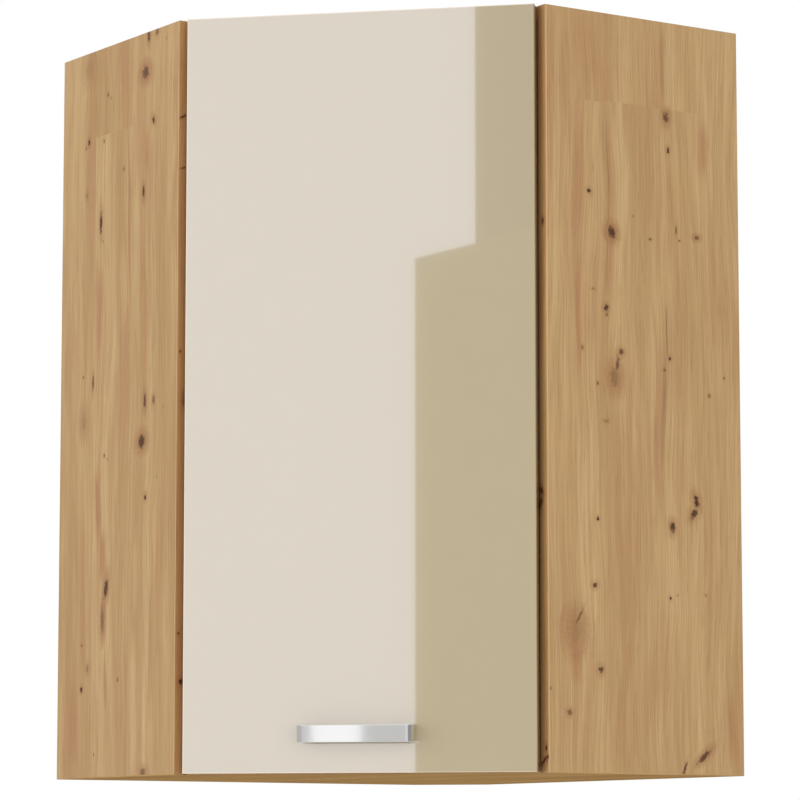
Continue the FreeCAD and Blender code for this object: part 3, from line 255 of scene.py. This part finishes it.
def knotted(graph, place, ragged, rows):
    """The bent place across, the darkness and the halo of a list of knots."""
    inputs = [{"Centre": (column * MM, row * MM, 0),
               "Half": (half_width * MM, half_height * MM, 1),
               "Lean": math.radians(lean), "Strength": strength, "Glow": glow}
              for column, row, half_width, half_height, strength, glow, lean in rows]
    out = chain(graph, KNOT, place, inputs, Halo=0.0, Rough=ragged)
    across, _, darkness = graph.split(out["State"])
    return across, darkness, out["Halo"]


# How far apart two lamellas lie in the noise of the grain
LAMELLA_SHIFT = 3.7


def lamellas(graph, u, v, rows):
    """A different number on each lamella: its two sides and its upper end in mm."""
    total = 0.0
    for number, (near, far, top) in enumerate(rows, 1):
        inside = graph.times(graph.math("GREATER_THAN", u, near * MM), graph.math("LESS_THAN", u, far * MM))
        inside = graph.times(inside, graph.math("LESS_THAN", v, top * MM))
        total = graph.plus(total, graph.times(inside, number * LAMELLA_SHIFT))
    return total


# Oak colours
OAK_LIGHT = linear(210, 177, 128)
OAK_MID = linear(190, 153, 106)
OAK_DARK = linear(173, 135, 90)
OAK_RED = linear(181, 134, 95)
OAK_PALE = linear(211, 179, 132)
OAK_FINE = linear(156, 118, 78)
OAK_PORE = linear(130, 94, 62)
KNOT_RIM = linear(156, 106, 70)
KNOT_CORE = linear(52, 26, 16)
KNOT_HEART = linear(120, 76, 62)
JOINT = linear(128, 90, 60)
# Colour of the painted shadow in the groove beside the door
GROOVE_PAINTED_SHADOW = linear(78, 52, 26)
# Colour of the painted highlight along the side panels' front corners
CORNER_HIGHLIGHT = linear(226, 190, 142)
# Painted shade on the faces that look down
UNDERSIDE_PAINTED_SHADE = linear(243, 238, 222)
# The front bands' darker tone: partly their own colour and partly painted shade, deeper on the left band than
# on the right
LEFT_STRIP_TONE_AND_SHADE = linear(232, 217, 203)
RIGHT_STRIP_TONE_AND_SHADE = linear(255, 244, 232)

# Layers of grain: scale across and along, place in the noise, detail, and where the layer begins and is whole
BROAD_GRAIN = (26.0, 1.7, 3.1, 2.0, 0.26, 0.74)
LINE_GRAIN = (150.0, 4.2, 7.7, 4.0, 0.36, 0.7)
FINE_GRAIN = (720.0, 9.0, 13.3, 3.0, 0.36, 0.66)
PORE_GRAIN = (1300.0, 26.0, 19.9, 2.0, 0.56, 0.74)
WARM_GRAIN = (40.0, 3.2, 29.0, 3.0, 0.46, 0.7)
GRAIN_ROUGHNESS = 0.55
LINE_SHARE, WARM_SHARE, FINE_SHARE, PORE_SHARE = 0.32, 0.5, 0.34, 0.36

# The slow drift of the grain: scale across and along, and its reach in metres
DRIFT_ACROSS, DRIFT_ALONG, DRIFT_REACH = 9.0, 3.2, 0.016

# The ragged outline of the knots, their halo, and the lighter heart inside some
RAGGED_SCALE, RAGGED_REACH = 260.0, 1.5
NOISE_MIDDLE = (0.5, 0.5, 0.5)
HALO_SHARE = 0.6
HEART_SCALE, HEART_RANGE, HEART_SHARE = 420.0, (0.46, 0.62), 0.4

# How the lines of the grain break up a streak, and the roughness between its fine lines and on them
STREAK_BREAK = (0.95, 1.45)
OAK_ROUGHNESS = (0.52, 0.6)


def oak(name, across, along, start=0.0, knots=(), dark=(), red=(), pale=(), boards=(), seed=0.0, shade=None,
        gleam=0.15, groove=None, corner=()):
    """Oak decor with its grain along an axis; the lists place its knots, streaks and lamellas in mm. The
    shade is a multiplied tone that holds painted shade, the corner streaks a painted highlight, and the
    groove a painted shadow.
    """
    made, graph = material(name)
    place = graph.place()
    u = graph.plus(graph.measure("DOT_PRODUCT", place, across), start)
    v = graph.measure("DOT_PRODUCT", place, along)
    flat = graph.join(u, v, seed)
    spot = graph.join(u, v)
    bent, core, halo = u, 0.0, 0.0
    if knots:
        noise = graph.noise_node(flat, RAGGED_SCALE).outputs["Color"]
        ragged = graph.scaled(graph.vector("SUBTRACT", noise, NOISE_MIDDLE), RAGGED_REACH)
        bent, core, halo = knotted(graph, spot, graph.vector("MULTIPLY", ragged, FLAT), knots)
    drift = graph.noise(graph.join(graph.times(u, DRIFT_ACROSS), graph.times(v, DRIFT_ALONG), seed))
    bent = graph.plus(bent, graph.line(drift, 0.0, 1.0, -DRIFT_REACH, DRIFT_REACH))
    board = graph.plus(lamellas(graph, u, v, boards), seed)

    def layer(fine, long, offset, detail, low, high):
        """One layer of grain, from one of the rows above."""
        place_in_noise = graph.join(graph.times(bent, fine), graph.times(v, long), graph.plus(board, offset))
        noise = graph.noise(place_in_noise, detail=detail, rough=GRAIN_ROUGHNESS)
        return graph.step(noise, low, high)

    lines = layer(*LINE_GRAIN)
    fine = layer(*FINE_GRAIN)
    colour = graph.paint(layer(*BROAD_GRAIN), OAK_MID, OAK_LIGHT)
    colour = graph.paint(graph.times(lines, LINE_SHARE), colour, OAK_DARK)
    colour = graph.paint(graph.times(layer(*WARM_GRAIN), WARM_SHARE), colour, OAK_RED)
    wave = graph.join(bent, v)
    broken = graph.line(lines, 0.0, 1.0, *STREAK_BREAK)
    for rows, tone in ((red, OAK_RED), (pale, OAK_PALE), (dark, JOINT)):
        if rows:
            colour = graph.paint(graph.times(streaks(graph, wave, rows), broken), colour, tone)
    colour = graph.paint(graph.times(fine, FINE_SHARE), colour, OAK_FINE)
    colour = graph.paint(graph.times(layer(*PORE_GRAIN), PORE_SHARE), colour, OAK_PORE)
    if knots:
        colour = graph.paint(graph.times(halo, HALO_SHARE), colour, KNOT_RIM)
        heart = graph.times(graph.step(graph.noise(flat, HEART_SCALE), *HEART_RANGE), HEART_SHARE)
        colour = graph.paint(core, colour, graph.paint(heart, KNOT_CORE, KNOT_HEART))
    # A multiplied tone: painted shade on the faces that look down, and on the front bands partly their own
    # darker colour and partly painted shade
    if shade:
        colour = graph.paint(1.0, colour, shade, "MULTIPLY")
    # Painted highlight: a pale line along the front corner
    if corner:
        colour = graph.paint(streaks(graph, spot, corner), colour, CORNER_HIGHLIGHT)
    # Painted shadow of the groove beside the door: the band darkens towards the door
    if groove:
        begin, end, share = groove
        colour = graph.paint(graph.line(u, begin * MM, end * MM, 0.0, share), colour, GROOVE_PAINTED_SHADOW)
    roughness = graph.line(fine, 0.0, 1.0, *OAK_ROUGHNESS)
    finish_surface(graph, Base_Color=colour, Roughness=roughness, Specular_IOR_Level=gleam)
    return made


# Knots: distance from the wall, height, half width and half height in mm, darkness, halo, lean in degrees
LEFT_KNOTS = (
    (206, 851, 9, 9, 0.7, 0.9, -30), (213, 895, 3.5, 8, 0.75, 0.8, 0), (233, 897, 3.5, 5, 0.6, 0.6, 0),
    (113, 839, 2, 3, 0.7, 0.4, 0), (121, 834, 1.5, 2, 0.5, 0.2, 0), (226, 789, 3.5, 5.5, 0.9, 0.7, -30),
    (66, 787, 3, 5, 0.9, 0.7, 0), (59, 781, 2, 3, 0.5, 0.4, 0), (104, 783, 1.6, 3.5, 0.7, 0.4, 0),
    (154, 740, 1.8, 3.2, 0.75, 0.4, 0), (203, 704, 3, 8, 0.95, 0.9, 0), (98, 681, 3.6, 15, 0.95, 0.6, 0),
    (104, 657, 1.4, 1.8, 0.6, 0.2, 0), (65, 880, 11, 13, 0.12, 0.45, 0), (62, 720, 3, 4, 0.3, 0.4, 0),
    (256, 884, 1.6, 1.8, 0.4, 0.2, 0), (57, 493, 1.8, 2.2, 0.7, 0.3, 0), (82, 484, 2.4, 10, 0.75, 0.7, 0),
    (210, 448, 3.3, 9, 0.75, 0.8, 0), (231, 447, 3.4, 6, 0.6, 0.5, 0), (203, 400, 9, 9, 0.85, 0.9, -30),
    (60, 436, 8, 13, 0.15, 0.5, 0), (112, 391, 2, 3, 0.7, 0.3, 0), (120, 386, 1.5, 2, 0.5, 0.2, 0),
    (213, 332, 3, 4.2, 0.95, 0.7, 0), (255, 437, 1.5, 1.6, 0.4, 0.2, 0), (240, 354, 1.3, 1.4, 0.4, 0.2, 0),
    (119, 228, 5.5, 13, 0.85, 0.9, 12), (111, 190, 4, 17, 0.42, 0.9, 0), (60, 162, 2, 2, 0.6, 0.3, 0),
    (75, 132, 3.5, 6, 0.35, 0.5, 0), (60, 108, 3, 4, 0.95, 0.6, 0), (150, 117, 2, 2.6, 0.6, 0.3, 0),
    (93, 28, 1.5, 2.5, 0.6, 0.2, 0), (213, 4, 7, 5, 0.55, 0.7, 0),
)
RIGHT_KNOTS = (
    (109, 784, 4.6, 7.5, 0.7, 0.8, 0), (106, 744, 2.4, 4, 0.9, 0.6, 0), (224, 683, 3, 3.6, 0.9, 0.6, 0),
    (191, 637, 6.5, 8, 0.85, 1.0, 20), (159, 659, 1.5, 1.5, 0.4, 0.2, 0), (134, 634, 2.5, 2, 0.6, 0.3, 0),
    (95, 648, 1.5, 6, 0.6, 0.3, 0), (90, 636, 1.8, 1.8, 0.7, 0.2, 0), (64, 642, 4.5, 3.2, 0.6, 0.7, 0),
    (200, 546, 3.3, 4, 0.85, 0.8, 0), (199, 538, 2, 3, 0.5, 0.4, 0), (235, 496, 2, 3, 0.5, 0.4, 0),
    (178, 495, 4.2, 4, 0.7, 0.7, 0), (184, 480, 2.8, 11, 0.6, 0.8, -8), (188, 464, 8, 13, 0.35, 0.8, 0),
    (106, 493, 2.4, 3, 0.85, 0.5, 0), (114, 478, 2, 2.6, 0.6, 0.3, 0), (213, 456, 2, 3, 0.6, 0.3, 0),
    (24, 475, 1.8, 2.5, 0.6, 0.3, 0), (47, 452, 2.5, 3, 0.5, 0.3, 0), (201, 412, 4, 2, 0.3, 0.4, 0),
    (68, 324, 4.2, 9, 0.9, 0.9, 15), (72, 309, 4.5, 8, 0.85, 0.7, -35), (214, 296, 2.2, 3, 0.95, 0.4, 0),
    (104, 292, 4.6, 7, 0.85, 0.8, 0), (219, 218, 3.4, 3.6, 0.85, 0.6, 0), (108, 207, 2, 2.6, 0.9, 0.4, 0),
    (98, 211, 2, 1.5, 0.35, 0.2, 0), (55, 213, 2, 2, 0.4, 0.3, 0), (242, 180, 1.8, 12, 0.6, 0.5, -30),
    (248, 165, 11, 17, 0.1, 0.8, 0), (211, 120, 4, 5, 0.8, 0.6, 0), (256, 70, 4, 3.6, 0.55, 0.6, 0),
    (60, 22, 3.8, 13, 0.8, 0.8, -50), (89, 7, 1.8, 9, 0.8, 0.5, -22), (283, 97, 1.5, 2, 0.5, 0.3, 0),
    (219, 567, 3, 1.5, 0.4, 0.3, 0),
)

# Knots on the front bands: the first number is the distance from the panel's outer face
LEFT_STRIP_KNOTS = (
    (5, 783, 1.4, 5, 0.8, 0.8, 60), (6, 721, 1.2, 5, 0.7, 0.6, 70), (4, 500, 1.4, 2.2, 0.9, 0.6, 0),
    (9, 443, 3, 9, 0.35, 0.8, 0), (4, 165, 1.3, 2, 0.8, 0.5, 0), (7.5, 109, 3, 4, 0.9, 0.8, 0),
)
RIGHT_STRIP_KNOTS = (
    (6, 642, 2.5, 4, 0.7, 0.8, 0), (11, 325, 3.4, 6, 0.95, 0.9, 20), (13, 311, 3, 8, 0.95, 0.9, -20),
    (4, 28, 1.8, 4, 0.95, 0.8, 0), (8, 14, 2, 11, 0.95, 0.9, -50), (3, 16, 1.4, 7, 0.8, 0.6, -10),
)

# Streaks: distance from the wall, lower end, upper end and width in mm, strength
LEFT_DARK = ((174, -60, 800, 1.6, 0.3),)
LEFT_RED = (
    (166, 560, 788, 9, 0.6), (214, 725, 785, 14, 0.6), (203, 430, 690, 14, 0.6), (94, 500, 640, 20, 0.6),
    (101, 280, 380, 18, 0.7), (109, 228, 305, 14, 0.85), (117, 75, 150, 8, 0.7), (38, 20, 120, 26, 0.6),
    (60, 120, 330, 14, 0.4), (226, 60, 220, 14, 0.4), (113, 160, 225, 12, 0.6),
)
LEFT_PALE = (
    (185, -20, 180, 18, 0.7), (151, 540, 660, 16, 0.5), (190, 180, 300, 14, 0.4), (262, -20, 300, 22, 0.35),
)
RIGHT_DARK = (
    (200, 540, 800, 1.8, 0.35), (113, 485, 560, 2.6, 0.6), (116, 330, 500, 8, 0.35), (111, 790, 900, 8, 0.4),
)
RIGHT_RED = (
    (243, 600, 790, 18, 0.6), (238, 455, 620, 14, 0.75), (49, 715, 785, 20, 0.6), (249, 100, 150, 20, 0.6),
    (20, 10, 100, 26, 0.5), (197, 560, 640, 12, 0.5), (125, 300, 520, 12, 0.4), (230, 800, 900, 30, 0.35),
    (197, 660, 780, 7, 0.45), (104, 590, 745, 12, 0.4),
)
RIGHT_PALE = (
    (180, 600, 788, 28, 0.4), (275, -20, 920, 14, 0.35), (222, 300, 400, 12, 0.4), (140, 120, 240, 16, 0.3),
)
# A painted highlight along the front corner of each side panel, in the same columns
FRONT_CORNER_HIGHLIGHT = ((285.7, -900, 1800, 2.0, 0.8),)

# Lamellas: the two sides and the upper end in mm
LEFT_BOARDS = ((84, 174, 790), (174, 300, 0))
RIGHT_BOARDS = ((58, 200, 794), (200, 253, 792))

# The painted shadow of the groove beside the door on the front bands: where it begins and ends in mm, and its
# strength
LEFT_GROOVE_PAINTED_SHADOW = (11, 14, 1.0)
RIGHT_GROOVE_PAINTED_SHADOW = (4, 15, 0.52)

left_oak = oak("oak_left", FROM_LEFT_WALL, UPWARDS, HALF_WIDTH, LEFT_KNOTS, LEFT_DARK, LEFT_RED, LEFT_PALE,
               LEFT_BOARDS, seed=1.7, corner=FRONT_CORNER_HIGHLIGHT)
right_oak = oak("oak_right", FROM_RIGHT_WALL, UPWARDS, HALF_WIDTH, RIGHT_KNOTS, RIGHT_DARK, RIGHT_RED,
                RIGHT_PALE, RIGHT_BOARDS, seed=4.9, corner=FRONT_CORNER_HIGHLIGHT)
flat_oak = oak("oak_flat", TO_RIGHT_WALL, FROM_LEFT_WALL, seed=8.3, gleam=0.02)
# The carcass oak again, with painted shade for the underside
under_oak = oak("oak_under", TO_RIGHT_WALL, FROM_LEFT_WALL, seed=8.3, shade=UNDERSIDE_PAINTED_SHADE, gleam=0.0)

# Bands on the fronts of the top, bottom and shelves, and on the lower edges of the side panels, which face
# down and get painted shade
front_oak = oak("oak_front", UPWARDS, ALONG_DOOR, seed=3.3)
lower_oak_left = oak("oak_lower_left", TO_RIGHT_WALL, FROM_LEFT_WALL, seed=5.4, shade=UNDERSIDE_PAINTED_SHADE, gleam=0.0)
lower_oak_right = oak("oak_lower_right", FROM_LEFT_WALL, TO_RIGHT_WALL, seed=7.1, shade=UNDERSIDE_PAINTED_SHADE,
                      gleam=0.0)

# Bands on the fronts of the side panels: a darker tone, partly their own colour and partly painted shade, and
# a painted shadow of the groove beside the door
left_strip = oak("oak_strip_left", TO_RIGHT_WALL, UPWARDS, HALF_WIDTH, LEFT_STRIP_KNOTS, seed=2.2,
                 shade=LEFT_STRIP_TONE_AND_SHADE, groove=LEFT_GROOVE_PAINTED_SHADOW)
right_strip = oak("oak_strip_right", TO_LEFT_WALL, UPWARDS, HALF_WIDTH, RIGHT_STRIP_KNOTS, seed=6.1,
                  shade=RIGHT_STRIP_TONE_AND_SHADE, groove=RIGHT_GROOVE_PAINTED_SHADOW)

# The middle range of a noise, where nearly all of it lies
NOISE_LOW, NOISE_HIGH = 0.3, 0.7

# Plain finishes: the scale of their cloudiness and its darkest shade, and their grain
CLOUD_SCALE, CLOUD_DETAIL, CLOUD_SHADE = 60.0, 3.0, 0.95
GRAIN_SCALE, GRAIN_GLOSS, GRAIN_DEPTH = 1500.0, 0.05, 0.00003


def plain(name, colour, rough, **more):
    """One colour with a slight cloudiness, and a fine grain in its gloss and relief."""
    made, graph = material(name)
    place = graph.place()
    cloud = graph.noise(place, CLOUD_SCALE, CLOUD_DETAIL)
    colour = graph.scaled(colour[:3], graph.line(cloud, NOISE_LOW, NOISE_HIGH, CLOUD_SHADE, 1.0))
    grain = graph.noise(place, GRAIN_SCALE)
    roughness = graph.line(grain, NOISE_LOW, NOISE_HIGH, rough - GRAIN_GLOSS, rough + GRAIN_GLOSS)
    relief = graph.relief(grain, GRAIN_DEPTH)
    finish_surface(graph, Base_Color=colour, Roughness=roughness, Normal=relief, **more)
    return made


# Metal: the scale of the unevenness in its gloss
METAL_SCALE = 900.0

# Fibreboard: the colours between its flecks and on them, its roughness, and the noise that makes the flecks
BOARD_DARK = linear(214, 208, 196)
BOARD_LIGHT = linear(224, 219, 208)
BOARD_ROUGHNESS = 0.6
FLECK_SCALE, FLECK_DETAIL, FLECK_ROUGHNESS, FLECK_RANGE = 420.0, 3.0, 0.6, (0.35, 0.7)


def metal(name, colour, rough, uneven=0.03):
    """Metal with a fine unevenness in its gloss."""
    made, graph = material(name)
    grain = graph.noise(graph.place(), METAL_SCALE)
    roughness = graph.line(grain, NOISE_LOW, NOISE_HIGH, rough - uneven, rough + uneven)
    finish_surface(graph, Base_Color=colour, Metallic=1.0, Roughness=roughness)
    return made


def fibreboard():
    """Pale painted fibreboard with fine flecks."""
    made, graph = material("fibreboard")
    flecks = graph.noise(graph.place(), FLECK_SCALE, FLECK_DETAIL, FLECK_ROUGHNESS)
    colour = graph.paint(graph.step(flecks, *FLECK_RANGE), BOARD_DARK, BOARD_LIGHT)
    finish_surface(graph, Base_Color=colour, Roughness=BOARD_ROUGHNESS)
    return made


# The door's lacquer: its colour with a slow variation, its edges with painted shade on the free one, and its
# clear coat
DOOR_COLOUR = (0.53, 0.466, 0.342, 1.0)
DOOR_COLOUR_DEEP = (0.52, 0.457, 0.335, 1.0)
DOOR_EDGE = linear(222, 204, 180)
DOOR_FREE_EDGE_PAINTED_SHADE = linear(156, 130, 96)
DOOR_DRIFT_SCALE = 30.0
DOOR_ROUGHNESS, EDGE_ROUGHNESS = 0.08, 0.15
CLEAR_COAT = {"Coat_Weight": 1.0, "Coat_Roughness": 0.02, "Coat_IOR": 2.3}

# Where the door panel ends and its free edge band begins, measured along the door from the middle
door_points = [vertex.co for vertex in frame["nodes"]["door_panel"].data.vertices]
DOOR_SIDE = max((point.x + point.y) * HALF_ROOT for point in door_points)


def gloss_front():
    """High-gloss lacquer: a coloured base under a strong clear coat."""
    made, graph = material("gloss_front")
    drift = graph.noise(graph.place(), DOOR_DRIFT_SCALE, detail=1.0)
    colour = graph.paint(drift, DOOR_COLOUR, DOOR_COLOUR_DEEP)
    finish_surface(graph, Base_Color=colour, Roughness=DOOR_ROUGHNESS, **CLEAR_COAT)
    return made


def door_edge():
    """Glossy cream edge bands, with painted shade that makes the free edge facing the groove beside the right
    panel a little browner.
    """
    made, graph = material("door_edge")
    along = graph.measure("DOT_PRODUCT", graph.place(), ALONG_DOOR)
    # Painted shade on the free edge band beside the right panel
    colour = graph.paint(graph.math("GREATER_THAN", along, DOOR_SIDE), DOOR_EDGE, DOOR_FREE_EDGE_PAINTED_SHADE)
    finish_surface(graph, Base_Color=colour, Roughness=EDGE_ROUGHNESS, **CLEAR_COAT)
    return made


# Each material slot's finish, and the nodes that have one of their own
FINISHES = {
    "side_wood": left_oak,
    "edge_band": left_strip,
    "carcass_wood": flat_oak,
    "back_board": fibreboard(),
    "dowel_wood": plain("beech", linear(205, 170, 126), 0.6),
    "door_gloss": gloss_front(),
    "handle_metal": metal("handle_metal", (0.80, 0.795, 0.79, 1.0), 0.04, 0.004),
    "hinge_steel": metal("nickel", (0.70, 0.69, 0.67, 1.0), 0.24),
    "fastener_steel": metal("zinc_plated", (0.66, 0.67, 0.69, 1.0), 0.3),
    "zinc": metal("zinc_casting", (0.55, 0.56, 0.58, 1.0), 0.38),
    "hanger_plastic": plain("hanger_plastic", linear(228, 226, 220), 0.45),
    "cap_plastic": plain("cap_plastic", linear(234, 231, 224), 0.4),
    "hanger_steel": metal("hanger_steel", (0.64, 0.65, 0.67, 1.0), 0.32),
    "bumper_rubber": plain("bumper_rubber", linear(210, 210, 206), 0.35, Transmission_Weight=0.5),
}
OVERRIDES = {
    "side_panel_right": right_oak,
    "bottom_panel": under_oak,
    "door_edge_bands": door_edge(),
    "side_front_band_right": right_strip,
    "side_lower_band_left": lower_oak_left,
    "side_lower_band_right": lower_oak_right,
    "panel_front_bands": front_oak,
    "shelf_front_bands": front_oak,
}

slot_of = {part["node"]: part["material_slot"] for part in frame["record"]["subparts"]}
for name, piece in frame["nodes"].items():
    finish = OVERRIDES.get(name, FINISHES[slot_of[name]])
    piece.data.materials.clear()
    piece.data.materials.append(finish)


def place_object(name, data):
    """A new object in the scene."""
    made = bpy.data.objects.new(name, data)
    bpy.context.collection.objects.link(made)
    return made


# Camera at the photo's angle: its place in metres, its pitch and turn in degrees, and its lens in mm
CAMERA_PLACE = (3.809, -2.530, -0.112)
CAMERA_PITCH, CAMERA_TURN = 97.14, 56.32
SENSOR_WIDTH, FOCAL_LENGTH = 36, 169.25

scene = bpy.context.scene
camera = place_object("camera", bpy.data.cameras.new("camera"))
camera.location = CAMERA_PLACE
camera.rotation_euler = (math.radians(CAMERA_PITCH), 0, math.radians(CAMERA_TURN))
camera.data.sensor_width = SENSOR_WIDTH
camera.data.lens = FOCAL_LENGTH
scene.camera = camera
scene.view_settings.view_transform = "Standard"


def seen(graph):
    """1 for the rays that show a background: the camera's own, and those of gloss and glass."""
    ray = graph.add("ShaderNodeLightPath").outputs
    return graph.larger(ray["Is Camera Ray"], graph.larger(ray["Is Glossy Ray"], ray["Is Transmission Ray"]))


# White surroundings that light the object a little less than they show
SKY_COLOUR, SKY_LIGHT = (1, 1, 1, 1), 0.66
world = bpy.data.worlds.new("studio")
world.use_nodes = True
world.node_tree.nodes.clear()
scene.world = world
sky = Graph(world.node_tree)
strength = sky.line(seen(sky), 0.0, 1.0, SKY_LIGHT, 1.0)
light = sky.add("ShaderNodeBackground", {"Color": SKY_COLOUR, "Strength": strength})
sky.add("ShaderNodeOutputWorld", {"Surface": light.outputs[0]})

# Two soft lamps: their places and size in metres, and their power in watts
MIDDLE = (0, 0, HEIGHT / 2)
KEY_PLACE, KEY_POWER = (4.6, -0.9, 0.7), 58
FILL_PLACE, FILL_POWER = (0.2, -4.6, 0.7), 56
LAMP_SIZE = 4.0


def lamp(name, place, power):
    """A large soft lamp that is aimed at the middle of the cabinet and that reflections don't see."""
    data = bpy.data.lights.new(name, "AREA")
    data.shape = "DISK"
    data.size = LAMP_SIZE
    data.energy = power
    made = place_object(name, data)
    made.location = place
    x, y, z = (end - begin for begin, end in zip(place, MIDDLE))
    made.rotation_euler = (math.atan2(math.hypot(x, y), -z), 0, math.atan2(-x, y))
    made.visible_glossy = False


lamp("key", KEY_PLACE, KEY_POWER)
lamp("fill", FILL_PLACE, FILL_POWER)


def stage_mesh(name, corners):
    """A flat piece of the stage, and the graph of its material."""
    mesh = bpy.data.meshes.new(name)
    mesh.from_pydata(corners, [], [tuple(range(len(corners)))])
    made = place_object(name, mesh)
    surface, graph = material(name)
    mesh.materials.append(surface)
    return made, graph


# Cards that only reflections see, which give the glossy door and the handle a studio to reflect.
# Their distance out from the cabinet's upright axis, and the sides, foot and top of the bright and dark ones
CARD_OUT = 3.2096
CARD_LEFT, CARD_RIGHT, CARD_FOOT, CARD_TOP = -1.25, 1.6, 0.05, 1.9

# The step between bright and dark: its two uprights, their heights, and where the slope meets the right side
STEP_LEFT, STEP_RIGHT = -0.5208, -0.3983
STEP_LOW, STEP_HIGH, SLOPE_END = 1.101, 1.1277, 1.627

# The low cards that the handle reflects: foot and top, sides, and how far the white one stands in front
LOW_FOOT, LOW_TOP = -0.5, 0.04
LOW_LEFT, LOW_EDGE, LOW_RIGHT = -1.6, -0.513, 3.0
WHITE_LEFT, WHITE_RIGHT, WHITE_LEAD = -0.716, -0.614, 0.02

# The cards at both sides: where they stand along the door, start behind the axis, and their foot and top
FLANK_LEFT, FLANK_RIGHT = -1.6, 2.0
FLANK_START, FLANK_FOOT, FLANK_TOP = -1.0, -0.6, 0.6
RIGHT_FLANK_OUT = 3.2


def card(name, corners, colour, strength):
    """A glowing card that only reflections see."""
    made, graph = stage_mesh(name, corners)
    show(graph, graph.add("ShaderNodeEmission", {"Color": (*colour, 1), "Strength": strength}).outputs[0])
    for ray_kind in ("camera", "diffuse", "transmission", "volume_scatter", "shadow"):
        setattr(made, f"visible_{ray_kind}", False)


def before_door(along, out, up):
    """The point at a distance along the door, out from the cabinet's upright axis, and up."""
    return ((along + out) * HALF_ROOT, (along - out) * HALF_ROOT, up)


def facing(points, out=CARD_OUT):
    """Corners given along the door and upwards, at a distance out."""
    return [before_door(along, out, up) for along, up in points]


def low_card(left, right, out=CARD_OUT):
    """The corners of a low card that faces the door, from its left side to its right side."""
    return facing(((left, LOW_FOOT), (right, LOW_FOOT), (right, LOW_TOP), (left, LOW_TOP)), out)


def flank(along, out):
    """The corners of an upright card square to the door, from behind the axis to a distance out."""
    corners = ((FLANK_START, FLANK_FOOT), (out, FLANK_FOOT), (out, FLANK_TOP), (FLANK_START, FLANK_TOP))
    return [before_door(along, reach, up) for reach, up in corners]


BRIGHT = ((CARD_LEFT, CARD_FOOT), (STEP_LEFT, CARD_FOOT), (STEP_LEFT, STEP_LOW), (STEP_RIGHT, STEP_HIGH),
          (STEP_RIGHT, CARD_TOP), (CARD_LEFT, CARD_TOP))
DARK = ((STEP_LEFT, CARD_FOOT), (CARD_RIGHT, CARD_FOOT), (CARD_RIGHT, SLOPE_END), (STEP_RIGHT, STEP_HIGH),
        (STEP_LEFT, STEP_LOW))
UPPER = ((STEP_RIGHT, STEP_HIGH), (CARD_RIGHT, SLOPE_END), (CARD_RIGHT, CARD_TOP), (STEP_RIGHT, CARD_TOP))

card("bright_card", facing(BRIGHT), (1.02, 1, 1.07), 1.40)
card("dark_card", facing(DARK), (1.0, 0.61, 0.0), 0.365)
card("upper_card", facing(UPPER), (1.0, 0.53, 0.0), 0.275)
card("grey_card", low_card(LOW_LEFT, LOW_EDGE), (1, 1, 0.99), 0.66)
card("white_card", low_card(WHITE_LEFT, WHITE_RIGHT, CARD_OUT - WHITE_LEAD), (0.99, 0.99, 1.0), 1.17)
card("streak_card", low_card(LOW_EDGE, LOW_RIGHT), (1, 0.98, 1.0), 0.78)
card("left_card", flank(FLANK_LEFT, CARD_OUT), (1.0, 0.97, 1.0), 0.56)
card("right_card", flank(FLANK_RIGHT, RIGHT_FLANK_OUT), (1.0, 0.98, 0.97), 0.34)

# Pale floor below the cabinet, seen from above only, that fades into the white surroundings
FLOOR_REACH, FLOOR_DEPTH = 14.0, -1.4
FLOOR_FADE = (1.2, 4.2)
FLOOR_COLOUR = (0.86, 0.86, 0.86, 1)
corners = [(x * FLOOR_REACH, y * FLOOR_REACH, FLOOR_DEPTH) for x, y in ((-1, -1), (1, -1), (1, 1), (-1, 1))]
_, graph = stage_mesh("floor", corners)
top = graph.add("ShaderNodeBsdfDiffuse", {"Color": FLOOR_COLOUR})
clear = graph.add("ShaderNodeBsdfTransparent")
below = graph.add("ShaderNodeNewGeometry").outputs["Backfacing"]
far = graph.step(graph.measure("LENGTH", graph.place()), *FLOOR_FADE)
hidden = graph.larger(below, graph.times(far, seen(graph)))
shown = graph.add("ShaderNodeMixShader", numbered(hidden, top.outputs[0], clear.outputs[0]))
show(graph, shown.outputs[0])
